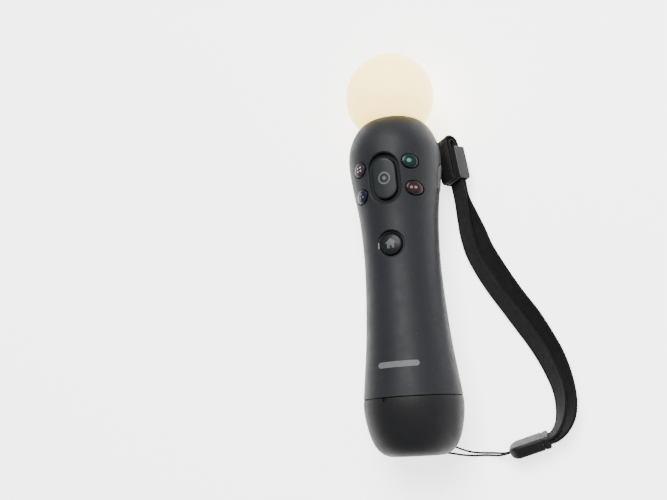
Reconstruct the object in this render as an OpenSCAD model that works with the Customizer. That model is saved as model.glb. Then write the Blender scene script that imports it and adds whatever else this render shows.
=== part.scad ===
// Handheld motion controller with a light ball on top and a wrist strap at the base.
// Millimetres. The pieces are drawn upright: h runs from the base end up to the ball, the
// front with its buttons faces -y. upright() then lays them down, front up, base at -Y.

/* [Body] */
// largest diameter of the handle, at the head and at the base
body_diameter = 46; // [44:0.5:48]
// wall thickness of the shells and the base cap
wall = 2; // [1.6:0.1:2.4]
// half of the gap along the seam between the two shells
seam_half = 0.1; // [0.05:0.05:0.15]
// height of the base cap
cap_height = 25.2; // [24:0.1:26]
// gap between the base cap and the shells
cap_gap = 0.3; // [0.2:0.1:0.5]

/* [Ball] */
// outer diameter of the light ball
ball_diameter = 45; // [44:0.5:45]
// height of the ball's centre above the base end
ball_centre = 177.5; // [177:0.5:178]
// wall thickness of the ball
ball_wall = 1.2; // [1:0.1:1.6]

/* [Front buttons] */
// width of the large oval button
main_width = 11.2; // [10.8:0.1:11.4]
// length of the large oval button
main_length = 19.5; // [19:0.1:19.8]
// height of the large button's centre
main_height = 126.6; // [126:0.1:127]
// diameter of the four small round buttons
action_diameter = 6.6; // [6.2:0.1:7.4]
// diameter of the home button
home_diameter = 10.4; // [10:0.1:10.6]
// height of the home button's centre
home_height = 95; // [94:0.5:96]
// gap round every button
button_gap = 0.35; // [0.3:0.05:0.4]
// slope of the head under the large button, in degrees
head_slope = 7.5; // [7:0.5:8]

/* [Side buttons] */
// width of the start and select buttons
side_width = 3.9; // [3.6:0.1:4]
// length of the start and select buttons
side_length = 13.6; // [13:0.1:14]
// height of their centres
side_height = 129; // [128:0.5:130]

/* [Trigger] */
// width of the trigger
trigger_width = 13.2; // [12.6:0.1:13.4]
// distance of the hinge pin behind the body's axis
pin_back = 14.5; // [14:0.1:15]
// height of the hinge pin
pin_height = 142.5; // [142:0.1:143]
// diameter of the hinge pin
pin_diameter = 2.4; // [2:0.1:2.5]

/* [Inside] */
// front face of the main board, in front of the body's axis
board_front = 7; // [6.8:0.1:7.2]
// thickness of the circuit boards
board_thick = 1; // [0.8:0.1:1.2]
// battery width, depth and length
battery_size = [26, 10, 47];

/* [Strap] */
// width of the webbing
web_width = 9.2; // [8.8:0.1:9.4]
// thickness of the webbing
web_thick = 1.3; // [1.1:0.1:1.4]
// diameter of the thin lanyard cord
cord_diameter = 0.9; // [0.8:0.05:1]
// length, width and thickness of the strap slider
slider_size = [17.5, 12.6, 6.4];
// length, width and thickness of the strap joint
joint_size = [18.6, 10.6, 5.6];

/* [Hidden] */
$fn = 64;

scale_r = body_diameter / 46;
shell_low = cap_height + cap_gap;
rim = 160.2;
ball_r = ball_diameter / 2;

// handle outline: height and radius
outline = [
    [0, 12.5], [1, 15], [2.5, 17], [5, 18.9], [9, 20.7], [14, 22], [19, 22.8], [23, 23],
    [27, 22.7], [36, 21.7], [50, 20.2], [65, 19.15], [80, 18.5], [93.6, 18.4], [109.4, 19.2],
    [120, 20.4], [132, 22.2], [138, 22.85], [142, 23], [146, 22.75], [150, 21.9], [154, 20.4],
    [157, 18.7], [159, 17], [160.2, 15.6]
];

// a smooth line through knots, each span cut in n
function slope(k, i) =
    let (a = max(i - 1, 0), b = min(i + 1, len(k) - 1)) (k[b][1] - k[a][1]) / (k[b][0] - k[a][0]);
function blend(k, i, t) =
    let (d = k[i + 1][0] - k[i][0], t2 = t * t, t3 = t2 * t)
    [
        k[i][0] + d * t,
        (2 * t3 - 3 * t2 + 1) * k[i][1] + (t3 - 2 * t2 + t) * d * slope(k, i)
        + (3 * t2 - 2 * t3) * k[i + 1][1] + (t3 - t2) * d * slope(k, i + 1)
    ];
function smooth(k, n) =
    concat([for (i = [0:len(k) - 2]) for (j = [0:n - 1]) blend(k, i, j / n)], [k[len(k) - 1]]);

skin = smooth(outline, 2);
function skin_r(h) = scale_r * lookup(h, skin);
function between(lo, hi) =
    concat([[skin_r(lo), lo]], [for (p = skin) if (p[0] > lo && p[0] < hi) [scale_r * p[1], p[0]]],
        [[skin_r(hi), hi]]);
function inward(points, d) = [for (p = points) [p[0] - d, p[1]]];
function reversed(v) = [for (i = [len(v) - 1:-1:0]) v[i]];

// small round buttons: side, height, lug top, switch offset
actions = [[12.5, 133.5, 14.9], [13, 120.8, 12]];
action_r = action_diameter / 2;
action_crown = 1.1;
switch_x = 10.2;
switch_size = [4.5, 4.5, 3];
plunger_r = 1.2;
plunger_low = board_front + 2.2;

screw_spots = [[10, 31], [10.8, 108]];
board_posts = [[9.5, 70], [9.5, 98]];

// trigger face: height and distance behind the axis
trigger_face = [
    [104.6, 22.5], [107, 22.45], [110, 21.7], [114, 20.95], [119, 20.6], [125, 20.95],
    [131, 21.6], [137, 22.2], [142, 22.5], [145.6, 22.35]
];
trigger_line = [for (p = smooth(trigger_face, 3)) [p[1], p[0]]];

motor_back = 6.4;
lanyard_angle = 135;

// thin lanyard: out of the strap joint, round the bar in the base and back
lanyard_route = [
    [41.1, -100.2, 6.6], [38.6, -100.9, 6.6], [36, -101.6, 5.6], [33, -102, 3.2],
    [30, -101.9, 1.3], [26, -101.7, 0.6], [21.6, -101.7, 1.2], [18.6, -101.4, 3.2],
    [16, -100.9, 6.2], [13.6, -100.2, 9.3], [11.4, -99.7, 11.6], [9.62, -99.6, 13.38],
    [8.72, -99.07, 14.28], [8.34, -97.8, 14.66], [8.72, -96.53, 14.28], [9.62, -96, 13.38],
    [11.3, -96, 11.7], [12.9, -96.4, 10.1], [15, -97.6, 7.6], [18, -99.2, 3.8],
    [21.4, -100.2, 1.4], [26, -100.65, 0.6], [30, -100.8, 0.9], [33, -101, 2.2],
    [36, -101, 4.4], [38.5, -100.6, 5.6], [41, -99.9, 5.6]
];

// webbing from the joint up to the slider: x, y, z, heading and tilt of its width
web_up = [
    [51.4, -96.3, 6.3, -74, 72], [56.2, -94.9, 6.3, -73, 72], [59.2, -92.8, 6.1, -54, 70],
    [61.6, -88.8, 5.7, -30, 66], [63.1, -83, 5.3, -10, 58], [63.4, -77, 4.8, 2, 51],
    [62.4, -70.6, 4.4, 12, 46], [59.4, -61.5, 4.2, 22, 42], [55.3, -52.5, 4, 27, 40],
    [50.1, -43.2, 4, 30, 38], [44.8, -34, 4, 30, 38], [39.4, -24.7, 4, 28, 38],
    [34.6, -15.1, 4.1, 24, 38], [31, -6, 4.5, 17, 38], [29.1, 3.3, 5.2, 10, 39],
    [28.6, 12.8, 6.6, 7, 40]
];
// through the slider and back over it, in the slider's own frame: along, out of its face
web_fold = [
    [-18, 0.85], [-9, 0.85], [0, 0.85], [8, 0.85], [11.2, 0.85], [12.38, 1.34], [12.88, 2.52],
    [12.38, 3.71], [11.2, 4.2], [6, 4.2], [0, 4.2], [-5, 4.25], [-7.2, 4.3], [-8.1, 4.6],
    [-8.4, 5.35], [-8.1, 6.1], [-7, 6.4], [-2, 6.4], [4, 6.4], [8, 6.4], [11.2, 6.4],
    [13.76, 5.34], [14.82, 2.78], [13.76, 0.21], [11.2, -0.85], [8, -0.85], [0, -0.85],
    [-9, -0.85], [-18, -0.85]
];
// and back down to the joint
web_down = [
    [32, 13.6, 5.4, 8, 37], [35, 4.5, 4.3, 13, 35], [37.5, -4.2, 3.8, 20, 34],
    [40.9, -12.1, 3.6, 25, 33], [45.4, -21.5, 3.6, 28, 33], [50.4, -30.9, 3.6, 29, 33],
    [55.7, -40, 3.6, 29, 33], [60.4, -50, 3.7, 26, 35], [64.2, -59.5, 3.9, 20, 38],
    [66.6, -69.6, 4.3, 11, 43], [67.6, -79.3, 4.9, -2, 53], [66.6, -86.4, 5.4, -20, 61],
    [63.8, -91.7, 5.8, -44, 68], [60.2, -94.9, 6, -62, 71], [56.6, -96.3, 5.9, -74, 72],
    [51.8, -97.7, 5.9, -74, 72]
];
slider_centre = [27, 40, 7];
slider_turn = 6;
slider_tilt = 40;
joint_centre = [47.5, -98.2, 6.1];
joint_turn = 16;
joint_tilt = 108;

function heading(a, t) = [cos(t) * cos(a), cos(t) * sin(a), sin(t)];
slider_up = [-sin(slider_turn), cos(slider_turn), 0];
slider_face = [
    -sin(slider_tilt) * cos(slider_turn), -sin(slider_tilt) * sin(slider_turn), cos(slider_tilt)
];
function folded(p) =
    let (q = slider_centre + slider_up * p[0] + slider_face * p[1])
    [q[0], q[1], q[2], slider_turn, slider_tilt];
web_route = concat(web_up, [for (p = web_fold) folded(p)], web_down);

// sweeping a ring along a route
function unit(v) = v / norm(v);
function head3(p) = [p[0], p[1], p[2]];
function crom(a, b, c, d, t) =
    0.5 * (2 * b + (c - a) * t + (2 * a - 5 * b + 4 * c - d) * t * t
        + (3 * b - a - 3 * c + d) * t * t * t);
function spline(v, n) =
    concat([for (i = [0:len(v) - 2]) for (j = [0:n - 1])
        crom(v[max(i - 1, 0)], v[i], v[i + 1], v[min(i + 2, len(v) - 1)], j / n)],
        [v[len(v) - 1]]);
function along(v, i) = unit(head3(v[min(i + 1, len(v) - 1)]) - head3(v[max(i - 1, 0)]));
function across(v, i, w) = let (t = along(v, i)) unit(w - t * (w * t));
module sweep(v, widths, ring) {
    n = len(ring);
    last = len(v) - 1;
    points = [
        for (i = [0:last])
            let (w = across(v, i, widths[i]), m = cross(along(v, i), w))
            for (q = ring) head3(v[i]) + w * q[0] + m * q[1]
    ];
    sides = [
        for (i = [0:last - 1], k = [0:n - 1])
            let (a = i * n + k, b = i * n + (k + 1) % n)
            for (f = [[a + n, b + n, b], [a + n, b, a]]) f
    ];
    low = [[for (k = [0:n - 1]) k]];
    high = [[for (k = [n - 1:-1:0]) last * n + k]];
    polyhedron(points, concat(sides, low, high), convexity = 8);
}

// frames
module upright() {
    translate([0, -100, 23]) rotate([-90, 0, 0]) children();
}
module front_at(x, h) {
    translate([x, 0, h]) rotate([90, 0, 0]) children();
}
module rear_at(x, h) {
    translate([x, 0, h]) rotate([-90, 0, 0]) children();
}
module out_at(h, angle) {
    translate([0, 0, h]) rotate([0, 0, angle]) rotate([90, 0, 0]) children();
}
module across_x(x0, w) {
    translate([x0, 0, 0]) rotate([90, 0, 90]) linear_extrude(w) children();
}
module slider_frame() {
    translate(slider_centre) rotate([0, 0, slider_turn]) rotate([0, -slider_tilt, 0]) children();
}
module joint_frame() {
    translate(joint_centre) rotate([0, 0, joint_turn]) rotate([joint_tilt, 0, 0]) children();
}

// shared shapes
module box_c(x, y, z) {
    translate([-x / 2, -y / 2, 0]) cube([x, y, z]);
}
module oval(w, l, t) {
    linear_extrude(t) {
        square([w, l - w], center = true);
        for (s = [-1, 1]) translate([0, s * (l - w) / 2]) circle(d = w);
    }
}
module round_box(w, l, t, r) {
    linear_extrude(t) {
        square([w - 2 * r, l], center = true);
        square([w, l - 2 * r], center = true);
        for (i = [-1, 1], j = [-1, 1]) translate([i * (w / 2 - r), j * (l / 2 - r)]) circle(r);
    }
}
module ring(outer, inner, t) {
    difference() {
        cylinder(r = outer, h = t);
        translate([0, 0, -1]) cylinder(r = inner, h = t + 2);
    }
}
module rod(a, b, r) {
    d = b - a;
    translate(a) rotate([0, acos(d[2] / norm(d)), atan2(d[1], d[0])]) cylinder(r = r, h = norm(d));
}
module lead(points, r) {
    route = spline(points, 3);
    sweep(route, [for (p = route) [1, 0, 0]], [for (k = [0:7]) [r * cos(45 * k), r * sin(45 * k)]]);
}
module body_solid(d) {
    rotate_extrude() polygon(concat([[0, 0]], inward(between(0, rim), d), [[0, rim]]));
}
module skin_crown(angle, h, x, up, r) {
    // a ball of radius r whose top stands up above the skin, square to it
    n = [sin(angle) * cos(head_slope), -cos(angle) * cos(head_slope), -sin(head_slope)];
    base = [sin(angle) * skin_r(h), -cos(angle) * skin_r(h), h];
    translate(base + n * (up - r)) sphere(r);
}

// ---- outer pieces ----
module shell_ring() {
    inner = concat(
        inward(between(shell_low, 157), wall),
        [[skin_r(159) - 1.8, 159], [skin_r(rim) - 0.85, rim]]
    );
    rotate_extrude() polygon(concat(between(shell_low, rim), reversed(inner)));
}
module shell_half(side) {
    intersection() {
        shell_ring();
        translate([-30, side < 0 ? -60 - seam_half : seam_half, 0]) cube([60, 60, 170]);
    }
}
module side_slots() {
    for (s = [-1, 1]) out_at(side_height, 90 * s) translate([0, 0, 12])
        oval(side_width + 2 * button_gap, side_length + 2 * button_gap, 20);
}
module home_plate() {
    front_at(0, home_height) translate([0, 0, 14.9]) cylinder(r = 8.2, h = 2);
}
module main_slope() {
    front_at(0, main_height) translate([0, 0, 18.8]) rotate([head_slope, 0, 0]) children();
}
module screw_posts() {
    for (p = screw_spots, s = [-1, 1]) front_at(s * p[0], p[1]) translate([0, 0, -2.8])
        cylinder(r = 2.6, h = 24);
}
module front_cuts() {
    main_slope() oval(main_width + 3.7, main_length + 4.9, 12);
    front_at(0, main_height) translate([0, 0, 9])
        oval(main_width + 2 * button_gap, main_length + 2 * button_gap, 20);
    for (p = actions, s = [-1, 1]) front_at(s * p[0], p[1]) translate([0, 0, 5])
        cylinder(r = action_r + button_gap, h = 25);
    front_at(0, home_height) translate([0, 0, 16.9]) cylinder(d = home_diameter + 2.6, h = 5);
    front_at(0, home_height) translate([0, 0, 12]) cylinder(d = home_diameter + 2 * button_gap, h = 9);
    front_at(-6.02, home_height) translate([0, 0, 10]) box_c(0.65, 2.8, 8);
    for (p = screw_spots, s = [-1, 1]) front_at(s * p[0], p[1]) translate([0, 0, -3])
        cylinder(r = 1.05, h = 10);
    side_slots();
}
module front_shell() {
    color([0.13, 0.135, 0.145]) upright() difference() {
        union() {
            shell_half(-1);
            intersection() {
                body_solid(1);
                union() {
                    main_slope() translate([0, 0, -1.3]) oval(main_width + 7.6, main_length + 9, 1.3);
                    home_plate();
                    screw_posts();
                    for (s = [-1, 1]) translate([s * 16.5 - 2.5, -4, 49]) cube([5, 1.8, 8]);
                }
            }
        }
        front_cuts();
    }
}
module rear_shell() {
    color([0.12, 0.125, 0.135]) upright() difference() {
        union() {
            shell_half(1);
            intersection() {
                body_solid(1);
                for (p = screw_spots, s = [-1, 1]) rear_at(s * p[0], p[1]) translate([0, 0, 3])
                    cylinder(r = 3.2, h = 22);
            }
        }
        for (p = screw_spots, s = [-1, 1]) rear_at(s * p[0], p[1]) {
            translate([0, 0, 2]) cylinder(r = 1.15, h = 10);
            translate([0, 0, 9]) cylinder(r = 2.3, h = 20);
        }
        translate([-7.1, 8, 103]) cube([14.2, 20, 44]);
        side_slots();
    }
}
module cap_ring() {
    inner = concat([[0, 2.2], [13, 2.2]], inward(between(4, cap_height), wall));
    rotate_extrude() polygon(concat([[0, 0]], between(0, cap_height), reversed(inner)));
}
module base_cap() {
    color([0.11, 0.115, 0.125]) upright() difference() {
        union() {
            cap_ring();
            translate([0, 0, 20]) ring(21.2, 18.8, cap_height - 20);
            translate([0, 0, 20]) ring(20.4, 18.8, 7.4);
            intersection() {
                body_solid(0.4);
                out_at(0, lanyard_angle) translate([0, 3.2, 8.6]) box_c(10, 6.4, 12);
            }
        }
        out_at(0, lanyard_angle) translate([0, 1.8, 10.2]) box_c(7, 5.6, 14);
        out_at(0, lanyard_angle) translate([-4.6, 2.2, 13.6]) rotate([0, 90, 0])
            cylinder(r = 0.75, h = 9.2);
        translate([-4.1, -4.1, -1]) cube([8.2, 4.2, 5]);
        translate([-6.45, 0.85, -1]) cube([12.9, 4.8, 5]);
        translate([-9.2, 6.2, -1]) cylinder(r = 1.15, h = 5);
        for (s = [-1, 1]) translate([s * 10.2 - 1.3, -2.25, -1]) cube([2.6, 4.5, 1.5]);
        out_at(cap_height, -17.5) translate([0, -0.8, 21.8]) box_c(2.2, 1.8, 4);
    }
}
module light_sphere() {
    color([0.96, 0.9, 0.8]) upright() difference() {
        union() {
            difference() {
                translate([0, 0, ball_centre]) sphere(ball_r);
                translate([0, 0, ball_centre - 50]) cylinder(r = 30, h = 158 - ball_centre + 50);
            }
            translate([0, 0, 152]) cylinder(r = 11.4, h = 7);
            translate([0, 0, 152]) cylinder(r = 13, h = 1.2);
        }
        translate([0, 0, ball_centre]) sphere(ball_r - ball_wall);
        translate([0, 0, 151]) cylinder(r = 10.2, h = 9);
    }
}
module sphere_collar() {
    color([0.1, 0.1, 0.11]) upright() {
        translate([0, 0, 153.4]) ring(16.6, 11.7, 3);
        for (i = [0:2]) rotate([0, 0, 120 * i + 30]) translate([14.8, 0, 151.4])
            cylinder(r = 1, h = 3);
    }
}
module lanyard_bar() {
    color([0.5, 0.5, 0.52]) upright() out_at(0, lanyard_angle) translate([-4.6, 2.2, 13.6])
        rotate([0, 90, 0]) cylinder(r = 0.75, h = 9.2);
}
module case_screws() {
    color([0.45, 0.45, 0.47]) upright() for (p = screw_spots, s = [-1, 1]) rear_at(s * p[0], p[1])
        difference() {
            union() {
                translate([0, 0, 9]) cylinder(r = 2, h = 1.8);
                translate([0, 0, -6]) cylinder(r = 1, h = 15);
            }
            for (a = [0, 90]) rotate([0, 0, a]) translate([0, 0, 9.9]) box_c(2.6, 0.6, 2);
        }
}

// ---- buttons ----
module plunger(x, h, top) {
    front_at(x, h) translate([0, 0, plunger_low]) cylinder(r = plunger_r, h = top - plunger_low);
}
module main_button() {
    color([0.08, 0.08, 0.09]) upright() {
        intersection() {
            front_at(0, main_height) translate([0, 0, 14.8]) oval(main_width, main_length, 10);
            front_at(0, main_height) translate([0, 0, 20.75]) rotate([head_slope, 0, 0])
                translate([0, 40, -24]) rotate([90, 0, 0]) cylinder(r = 24, h = 80);
        }
        front_at(0, main_height) translate([0, 0, 14.8]) oval(main_width + 2.2, main_length + 2.2, 0.9);
        front_at(0, main_height) translate([0, 0, 11.3]) cylinder(r = 3, h = 4);
    }
}
module main_plunger() {
    color([0.85, 0.85, 0.82]) upright() plunger(0, main_height, 11.3);
}
module action_button(x, h, lug) {
    upright() {
        intersection() {
            front_at(x, h) translate([0, 0, lug - 0.9]) cylinder(r = action_r, h = 14);
            skin_crown(asin(x / skin_r(h)), h, x, action_crown, 10);
        }
        front_at(x - sign(x) * 2.45, h) translate([0, 0, lug - 0.9]) box_c(4.9, 8.8, 0.9);
        front_at(sign(x) * switch_x, h) translate([0, 0, 11.1]) cylinder(r = 1.5, h = lug - 11.1);
    }
}
module action_button_a() {
    color([0.16, 0.22, 0.22]) action_button(actions[0][0], actions[0][1], actions[0][2]);
}
module action_button_b() {
    color([0.24, 0.18, 0.2]) action_button(actions[1][0], actions[1][1], actions[1][2]);
}
module action_button_c() {
    color([0.17, 0.18, 0.23]) action_button(-actions[1][0], actions[1][1], actions[1][2]);
}
module action_button_d() {
    color([0.23, 0.19, 0.22]) action_button(-actions[0][0], actions[0][1], actions[0][2]);
}
module action_plunger(s, h) {
    color([0.85, 0.85, 0.82]) upright() plunger(s * switch_x, h, 11.1);
}
module action_plunger_a() {
    action_plunger(1, actions[0][1]);
}
module action_plunger_b() {
    action_plunger(1, actions[1][1]);
}
module action_plunger_c() {
    action_plunger(-1, actions[1][1]);
}
module action_plunger_d() {
    action_plunger(-1, actions[0][1]);
}
module home_button() {
    color([0.1, 0.1, 0.11]) upright() {
        intersection() {
            front_at(0, home_height) translate([0, 0, 11.1]) cylinder(d = home_diameter, h = 10);
            front_at(0, home_height) translate([0, 0, 18.3 - 20]) sphere(20);
        }
        intersection() {
            front_at(0, home_height) translate([0, 0, 13.5]) cylinder(r = 6.3, h = 0.8);
            front_at(0, home_height) translate([0, 0, 13]) box_c(6.4, 14, 2);
        }
    }
}
module home_plunger() {
    color([0.85, 0.85, 0.82]) upright() plunger(0, home_height, 11.1);
}
module side_button(s) {
    color([0.1, 0.1, 0.11]) upright() out_at(side_height, 90 * s) {
        intersection() {
            translate([0, 0, 17.1]) oval(side_width, side_length, 8);
            rotate([8, 0, 0]) translate([0, 20, 0]) rotate([90, 0, 0]) cylinder(r = 22.1, h = 40);
        }
        translate([0, 0, 17.1]) oval(side_width + 1.4, side_length + 1.4, 0.8);
        translate([0, 0, 15.8]) cylinder(r = 1.6, h = 2);
    }
}
module start_button() {
    side_button(1);
}
module select_button() {
    side_button(-1);
}
module side_plunger(s) {
    color([0.85, 0.85, 0.82]) upright() out_at(side_height, 90 * s) translate([0, 0, 13.9])
        cylinder(r = plunger_r, h = 1.9);
}
module start_plunger() {
    side_plunger(1);
}
module select_plunger() {
    side_plunger(-1);
}
module status_light_pipe() {
    color([0.8, 0.8, 0.82, 0.6]) upright() front_at(-6.02, home_height) translate([0, 0, 8])
        box_c(0.65, 2.8, 9.2);
}
module reset_button() {
    color([0.15, 0.15, 0.16]) upright() translate([-9.2, 6.2, 0]) {
        translate([0, 0, 0.6]) cylinder(r = 0.8, h = 4);
        translate([0, 0, 4.4]) cylinder(r = 1.8, h = 0.8);
        translate([0, 0, 5.2]) cylinder(r = 0.55, h = 3);
    }
}

// ---- trigger ----
module trigger_outline(d, low, high) {
    polygon(concat([[3, low], [20 - d, low]],
        [for (p = trigger_line) if (p[1] > low && p[1] < high) [p[0] - d, p[1]]],
        [[20 - d, high], [3, high]]));
}
module trigger() {
    color([0.1, 0.1, 0.11]) upright() difference() {
        union() {
            intersection() {
                across_x(-trigger_width / 2, trigger_width) difference() {
                    trigger_outline(0, 104, 146);
                    polygon([
                        [0, 100], [16, 100], [15.2, 110], [15.2, 133], [11.4, 140], [11.4, 148], [0, 148]
                    ]);
                }
                translate([0, 0, 100]) cylinder(r = 22.65, h = 50);
            }
            for (s = [-1, 1]) translate([s * (trigger_width / 2 - 0.75) - 0.75, pin_back, pin_height])
                rotate([0, 90, 0]) cylinder(r = 3.2, h = 1.5);
        }
        across_x(-trigger_width / 2 + 1.5, trigger_width - 3) trigger_outline(1.7, 106, 145);
        translate([-10, pin_back, pin_height]) rotate([0, 90, 0])
            cylinder(r = pin_diameter / 2 + 0.05, h = 20);
    }
    color([0.1, 0.1, 0.11]) upright() rear_at(0, 117) translate([0, 0, 14.2]) cylinder(r = 2.8, h = 5.6);
}
module trigger_magnet() {
    color([0.6, 0.6, 0.62]) upright() rear_at(0, 117) translate([0, 0, 12.7]) cylinder(r = 2.2, h = 1.5);
}
module trigger_pin() {
    color([0.7, 0.7, 0.72]) upright() translate([-8.8, pin_back, pin_height]) rotate([0, 90, 0])
        cylinder(d = pin_diameter, h = 17.6);
}
module trigger_spring() {
    color([0.65, 0.65, 0.67]) upright() {
        translate([-3.3, pin_back, pin_height]) rotate([0, 90, 0]) rotate_extrude()
            for (i = [0:11]) translate([2, 0.58 * i]) circle(0.3);
        rod([3.3, pin_back + 2, pin_height], [3.3, 19.3, 132], 0.3);
        rod([-3.3, pin_back, pin_height - 2], [-3.3, 4.9, pin_height - 2], 0.3);
    }
}
module trigger_bracket() {
    color([0.16, 0.16, 0.17]) upright() difference() {
        union() {
            translate([-8.8, 2, 112]) cube([17.6, 1.6, 36]);
            for (x = [-8.8, 7.3]) across_x(x, 1.5)
                polygon([[2, 136], [12, 138], [17.5, 140], [17.5, 145.2], [12, 148], [2, 148]]);
            for (s = [-1, 1]) {
                translate([s * 9.35 - 1.35, -1.6, 124]) cube([2.7, 4.6, 10]);
                front_at(s * 5.5, 146) translate([0, 0, -2]) cylinder(r = 1.8, h = board_front + 1);
            }
        }
        translate([-9, pin_back, pin_height]) rotate([0, 90, 0]) cylinder(d = pin_diameter, h = 18);
    }
}
module trigger_sensor_board() {
    color([0.1, 0.35, 0.2]) upright() rear_at(0, 117) translate([0, 0, 3.6]) box_c(11, 10, 0.8);
}
module trigger_sensor() {
    color([0.08, 0.08, 0.09]) upright() rear_at(0, 117) translate([0, 0, 4.4]) box_c(4, 3, 1.2);
}

// ---- electronics ----
module main_board() {
    color([0.08, 0.3, 0.2]) upright() difference() {
        front_at(0, 0) translate([0, 0, board_front - board_thick]) {
            translate([-11, 62, 0]) cube([22, 52, board_thick]);
            translate([-13.2, 114, 0]) cube([26.4, 35, board_thick]);
        }
        front_at(0, 0) for (s = [-1, 1]) {
            translate([s * screw_spots[1][0], screw_spots[1][1], 0]) cylinder(r = 3, h = 10);
            for (p = board_posts) translate([s * p[0], p[1], 0]) cylinder(r = 1.1, h = 10);
        }
    }
}
module switch_body() {
    difference() {
        box_c(switch_size[0], switch_size[1], switch_size[2]);
        translate([0, 0, 1]) cylinder(r = plunger_r + 0.05, h = 5);
    }
}
module tact_switches() {
    color([0.2, 0.2, 0.21]) upright() {
        for (h = [main_height, home_height]) front_at(0, h) translate([0, 0, board_front]) switch_body();
        for (p = actions, s = [-1, 1]) front_at(s * switch_x, p[1]) translate([0, 0, board_front])
            switch_body();
    }
}
module side_boards() {
    color([0.08, 0.3, 0.2]) upright() for (s = [-1, 1]) out_at(side_height, 90 * s)
        translate([0, 0, 10.7]) box_c(5.2, 16, 1);
}
module side_switches() {
    color([0.2, 0.2, 0.21]) upright() for (s = [-1, 1]) out_at(side_height, 90 * s)
        translate([0, 0, 11.7]) switch_body();
}
module shield_can() {
    color([0.75, 0.76, 0.78]) upright() rear_at(0, 0) translate([0, -119, -board_front + board_thick])
        difference() {
            round_box(17, 18, 2.2, 0.8);
            translate([0, 0, -1]) round_box(16.4, 17.4, 2.9, 0.5);
        }
}
module chips() {
    color([0.07, 0.07, 0.08]) upright() front_at(0, 0) translate([0, 0, board_front]) {
        translate([0, 77, 0]) round_box(9, 9, 1.2, 0.4);
        translate([0, 86, 0]) box_c(4, 4, 1);
        translate([5, 112, 0]) box_c(4, 4, 1);
        translate([-5, 112, 0]) box_c(5, 3, 1);
        translate([-6.02, home_height, 0]) box_c(1.6, 2.8, 1);
    }
}
module led_board() {
    color([0.9, 0.9, 0.88]) upright() translate([0, 0, 150.4]) difference() {
        cylinder(r = 16, h = board_thick);
        translate([-20, -30, -1]) cube([40, 16, 3]);
    }
}
module rgb_led() {
    color([0.95, 0.95, 0.9]) upright() translate([0, 0, 150.4 + board_thick]) box_c(5, 5, 1.6);
}
module light_guide() {
    color([0.95, 0.95, 0.95, 0.7]) upright() translate([0, 0, 150.4 + board_thick]) difference() {
        union() {
            cylinder(r = 7, h = 5);
            intersection() {
                translate([0, 0, 4.9]) cylinder(r = 7, h = 6);
                translate([0, 0, 1.5]) sphere(8);
            }
        }
        translate([0, 0, -1]) cylinder(r = 5.6, h = 5);
    }
}
module inner_frame() {
    color([0.2, 0.2, 0.21]) upright() difference() {
        union() {
            translate([-11.5, -2.2, 34.6]) cube([23, 1.4, 65.4]);
            translate([-16, -2.2, 49]) cube([32, 1.4, 8]);
            translate([-7, -2.2, 34.6]) cube([14, 7.2, 1.4]);
            for (s = [-1, 1]) translate([s * 7.5 - 2, -2.2, 83.4]) cube([4, 7.2, 1.5]);
            for (p = board_posts, s = [-1, 1]) front_at(s * p[0], p[1]) translate([0, 0, 1])
                cylinder(r = 2, h = board_front - board_thick - 1);
        }
        translate([-4.5, -4, 84]) cube([9, 5, 4]);
        for (p = board_posts, s = [-1, 1]) front_at(s * p[0], p[1]) translate([0, 0, 2])
            cylinder(r = 0.95, h = 8);
    }
}
module board_screws() {
    color([0.7, 0.7, 0.72]) upright() for (p = board_posts, s = [-1, 1]) front_at(s * p[0], p[1])
        difference() {
            union() {
                translate([0, 0, board_front]) cylinder(r = 1.8, h = 1.2);
                translate([0, 0, board_front - 4]) cylinder(r = 0.9, h = 4);
            }
            for (a = [0, 90]) rotate([0, 0, a]) translate([0, 0, board_front + 0.6]) box_c(2.2, 0.5, 1);
        }
}
module battery_pack() {
    color([0.2, 0.3, 0.5]) upright() translate([0, battery_size[1] / 2 - 0.5, 36.2])
        round_box(battery_size[0], battery_size[1], battery_size[2], 2);
}
module battery_leads() {
    color([0.7, 0.1, 0.1]) upright() for (s = [-1, 1])
        lead([
            [s * 1.5, 2, 83.2], [s * 1.5, 1.9, 84.6], [s * 1.5, 0.6, 86], [s * 1.5, -1.8, 86.4],
            [s * 1.5, -3.8, 85], [s * 1.5, -4.5, 80], [s * 1.5, -4.5, 70.2]
        ], 0.6);
}
module battery_connector() {
    color([0.9, 0.88, 0.8]) upright() translate([-3.5, -6, 65.4]) cube([7, 3, 4.8]);
}
module base_leads() {
    color([0.75, 0.75, 0.75]) upright() for (i = [-1:1])
        lead([
            [i * 1.6, -0.6, 20], [i * 1.6, -1.4, 22], [i * 1.6, -4, 27], [i * 1.6, -7, 36],
            [i * 1.6, -7.8, 50], [i * 1.6, -7.6, 63]
        ], 0.5);
}
module motor_can() {
    color([0.7, 0.7, 0.72]) upright() translate([0, motor_back, 0]) difference() {
        union() {
            translate([0, 0, 88]) cylinder(r = 6, h = 10.6);
            translate([0, 0, 87.2]) cylinder(r = 2, h = 1);
        }
        translate([0, 0, 95.8]) cylinder(r = 0.85, h = 4);
    }
}
module motor_boot() {
    color([0.1, 0.1, 0.1]) upright() translate([0, motor_back, 89]) ring(7, 6, 8);
}
module motor_rotor() {
    color([0.55, 0.5, 0.4]) upright() translate([0, motor_back, 0]) {
        translate([0, 0, 96.2]) cylinder(r = 0.8, h = 6.4);
        difference() {
            translate([0, 0, 99.4]) cylinder(r = 5.2, h = 3);
            translate([-10, 1.5, 99]) cube([20, 10, 4]);
        }
    }
}
module usb_board() {
    color([0.08, 0.3, 0.2]) upright() translate([-14, 0, 4]) cube([28, board_thick, 19]);
}
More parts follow.
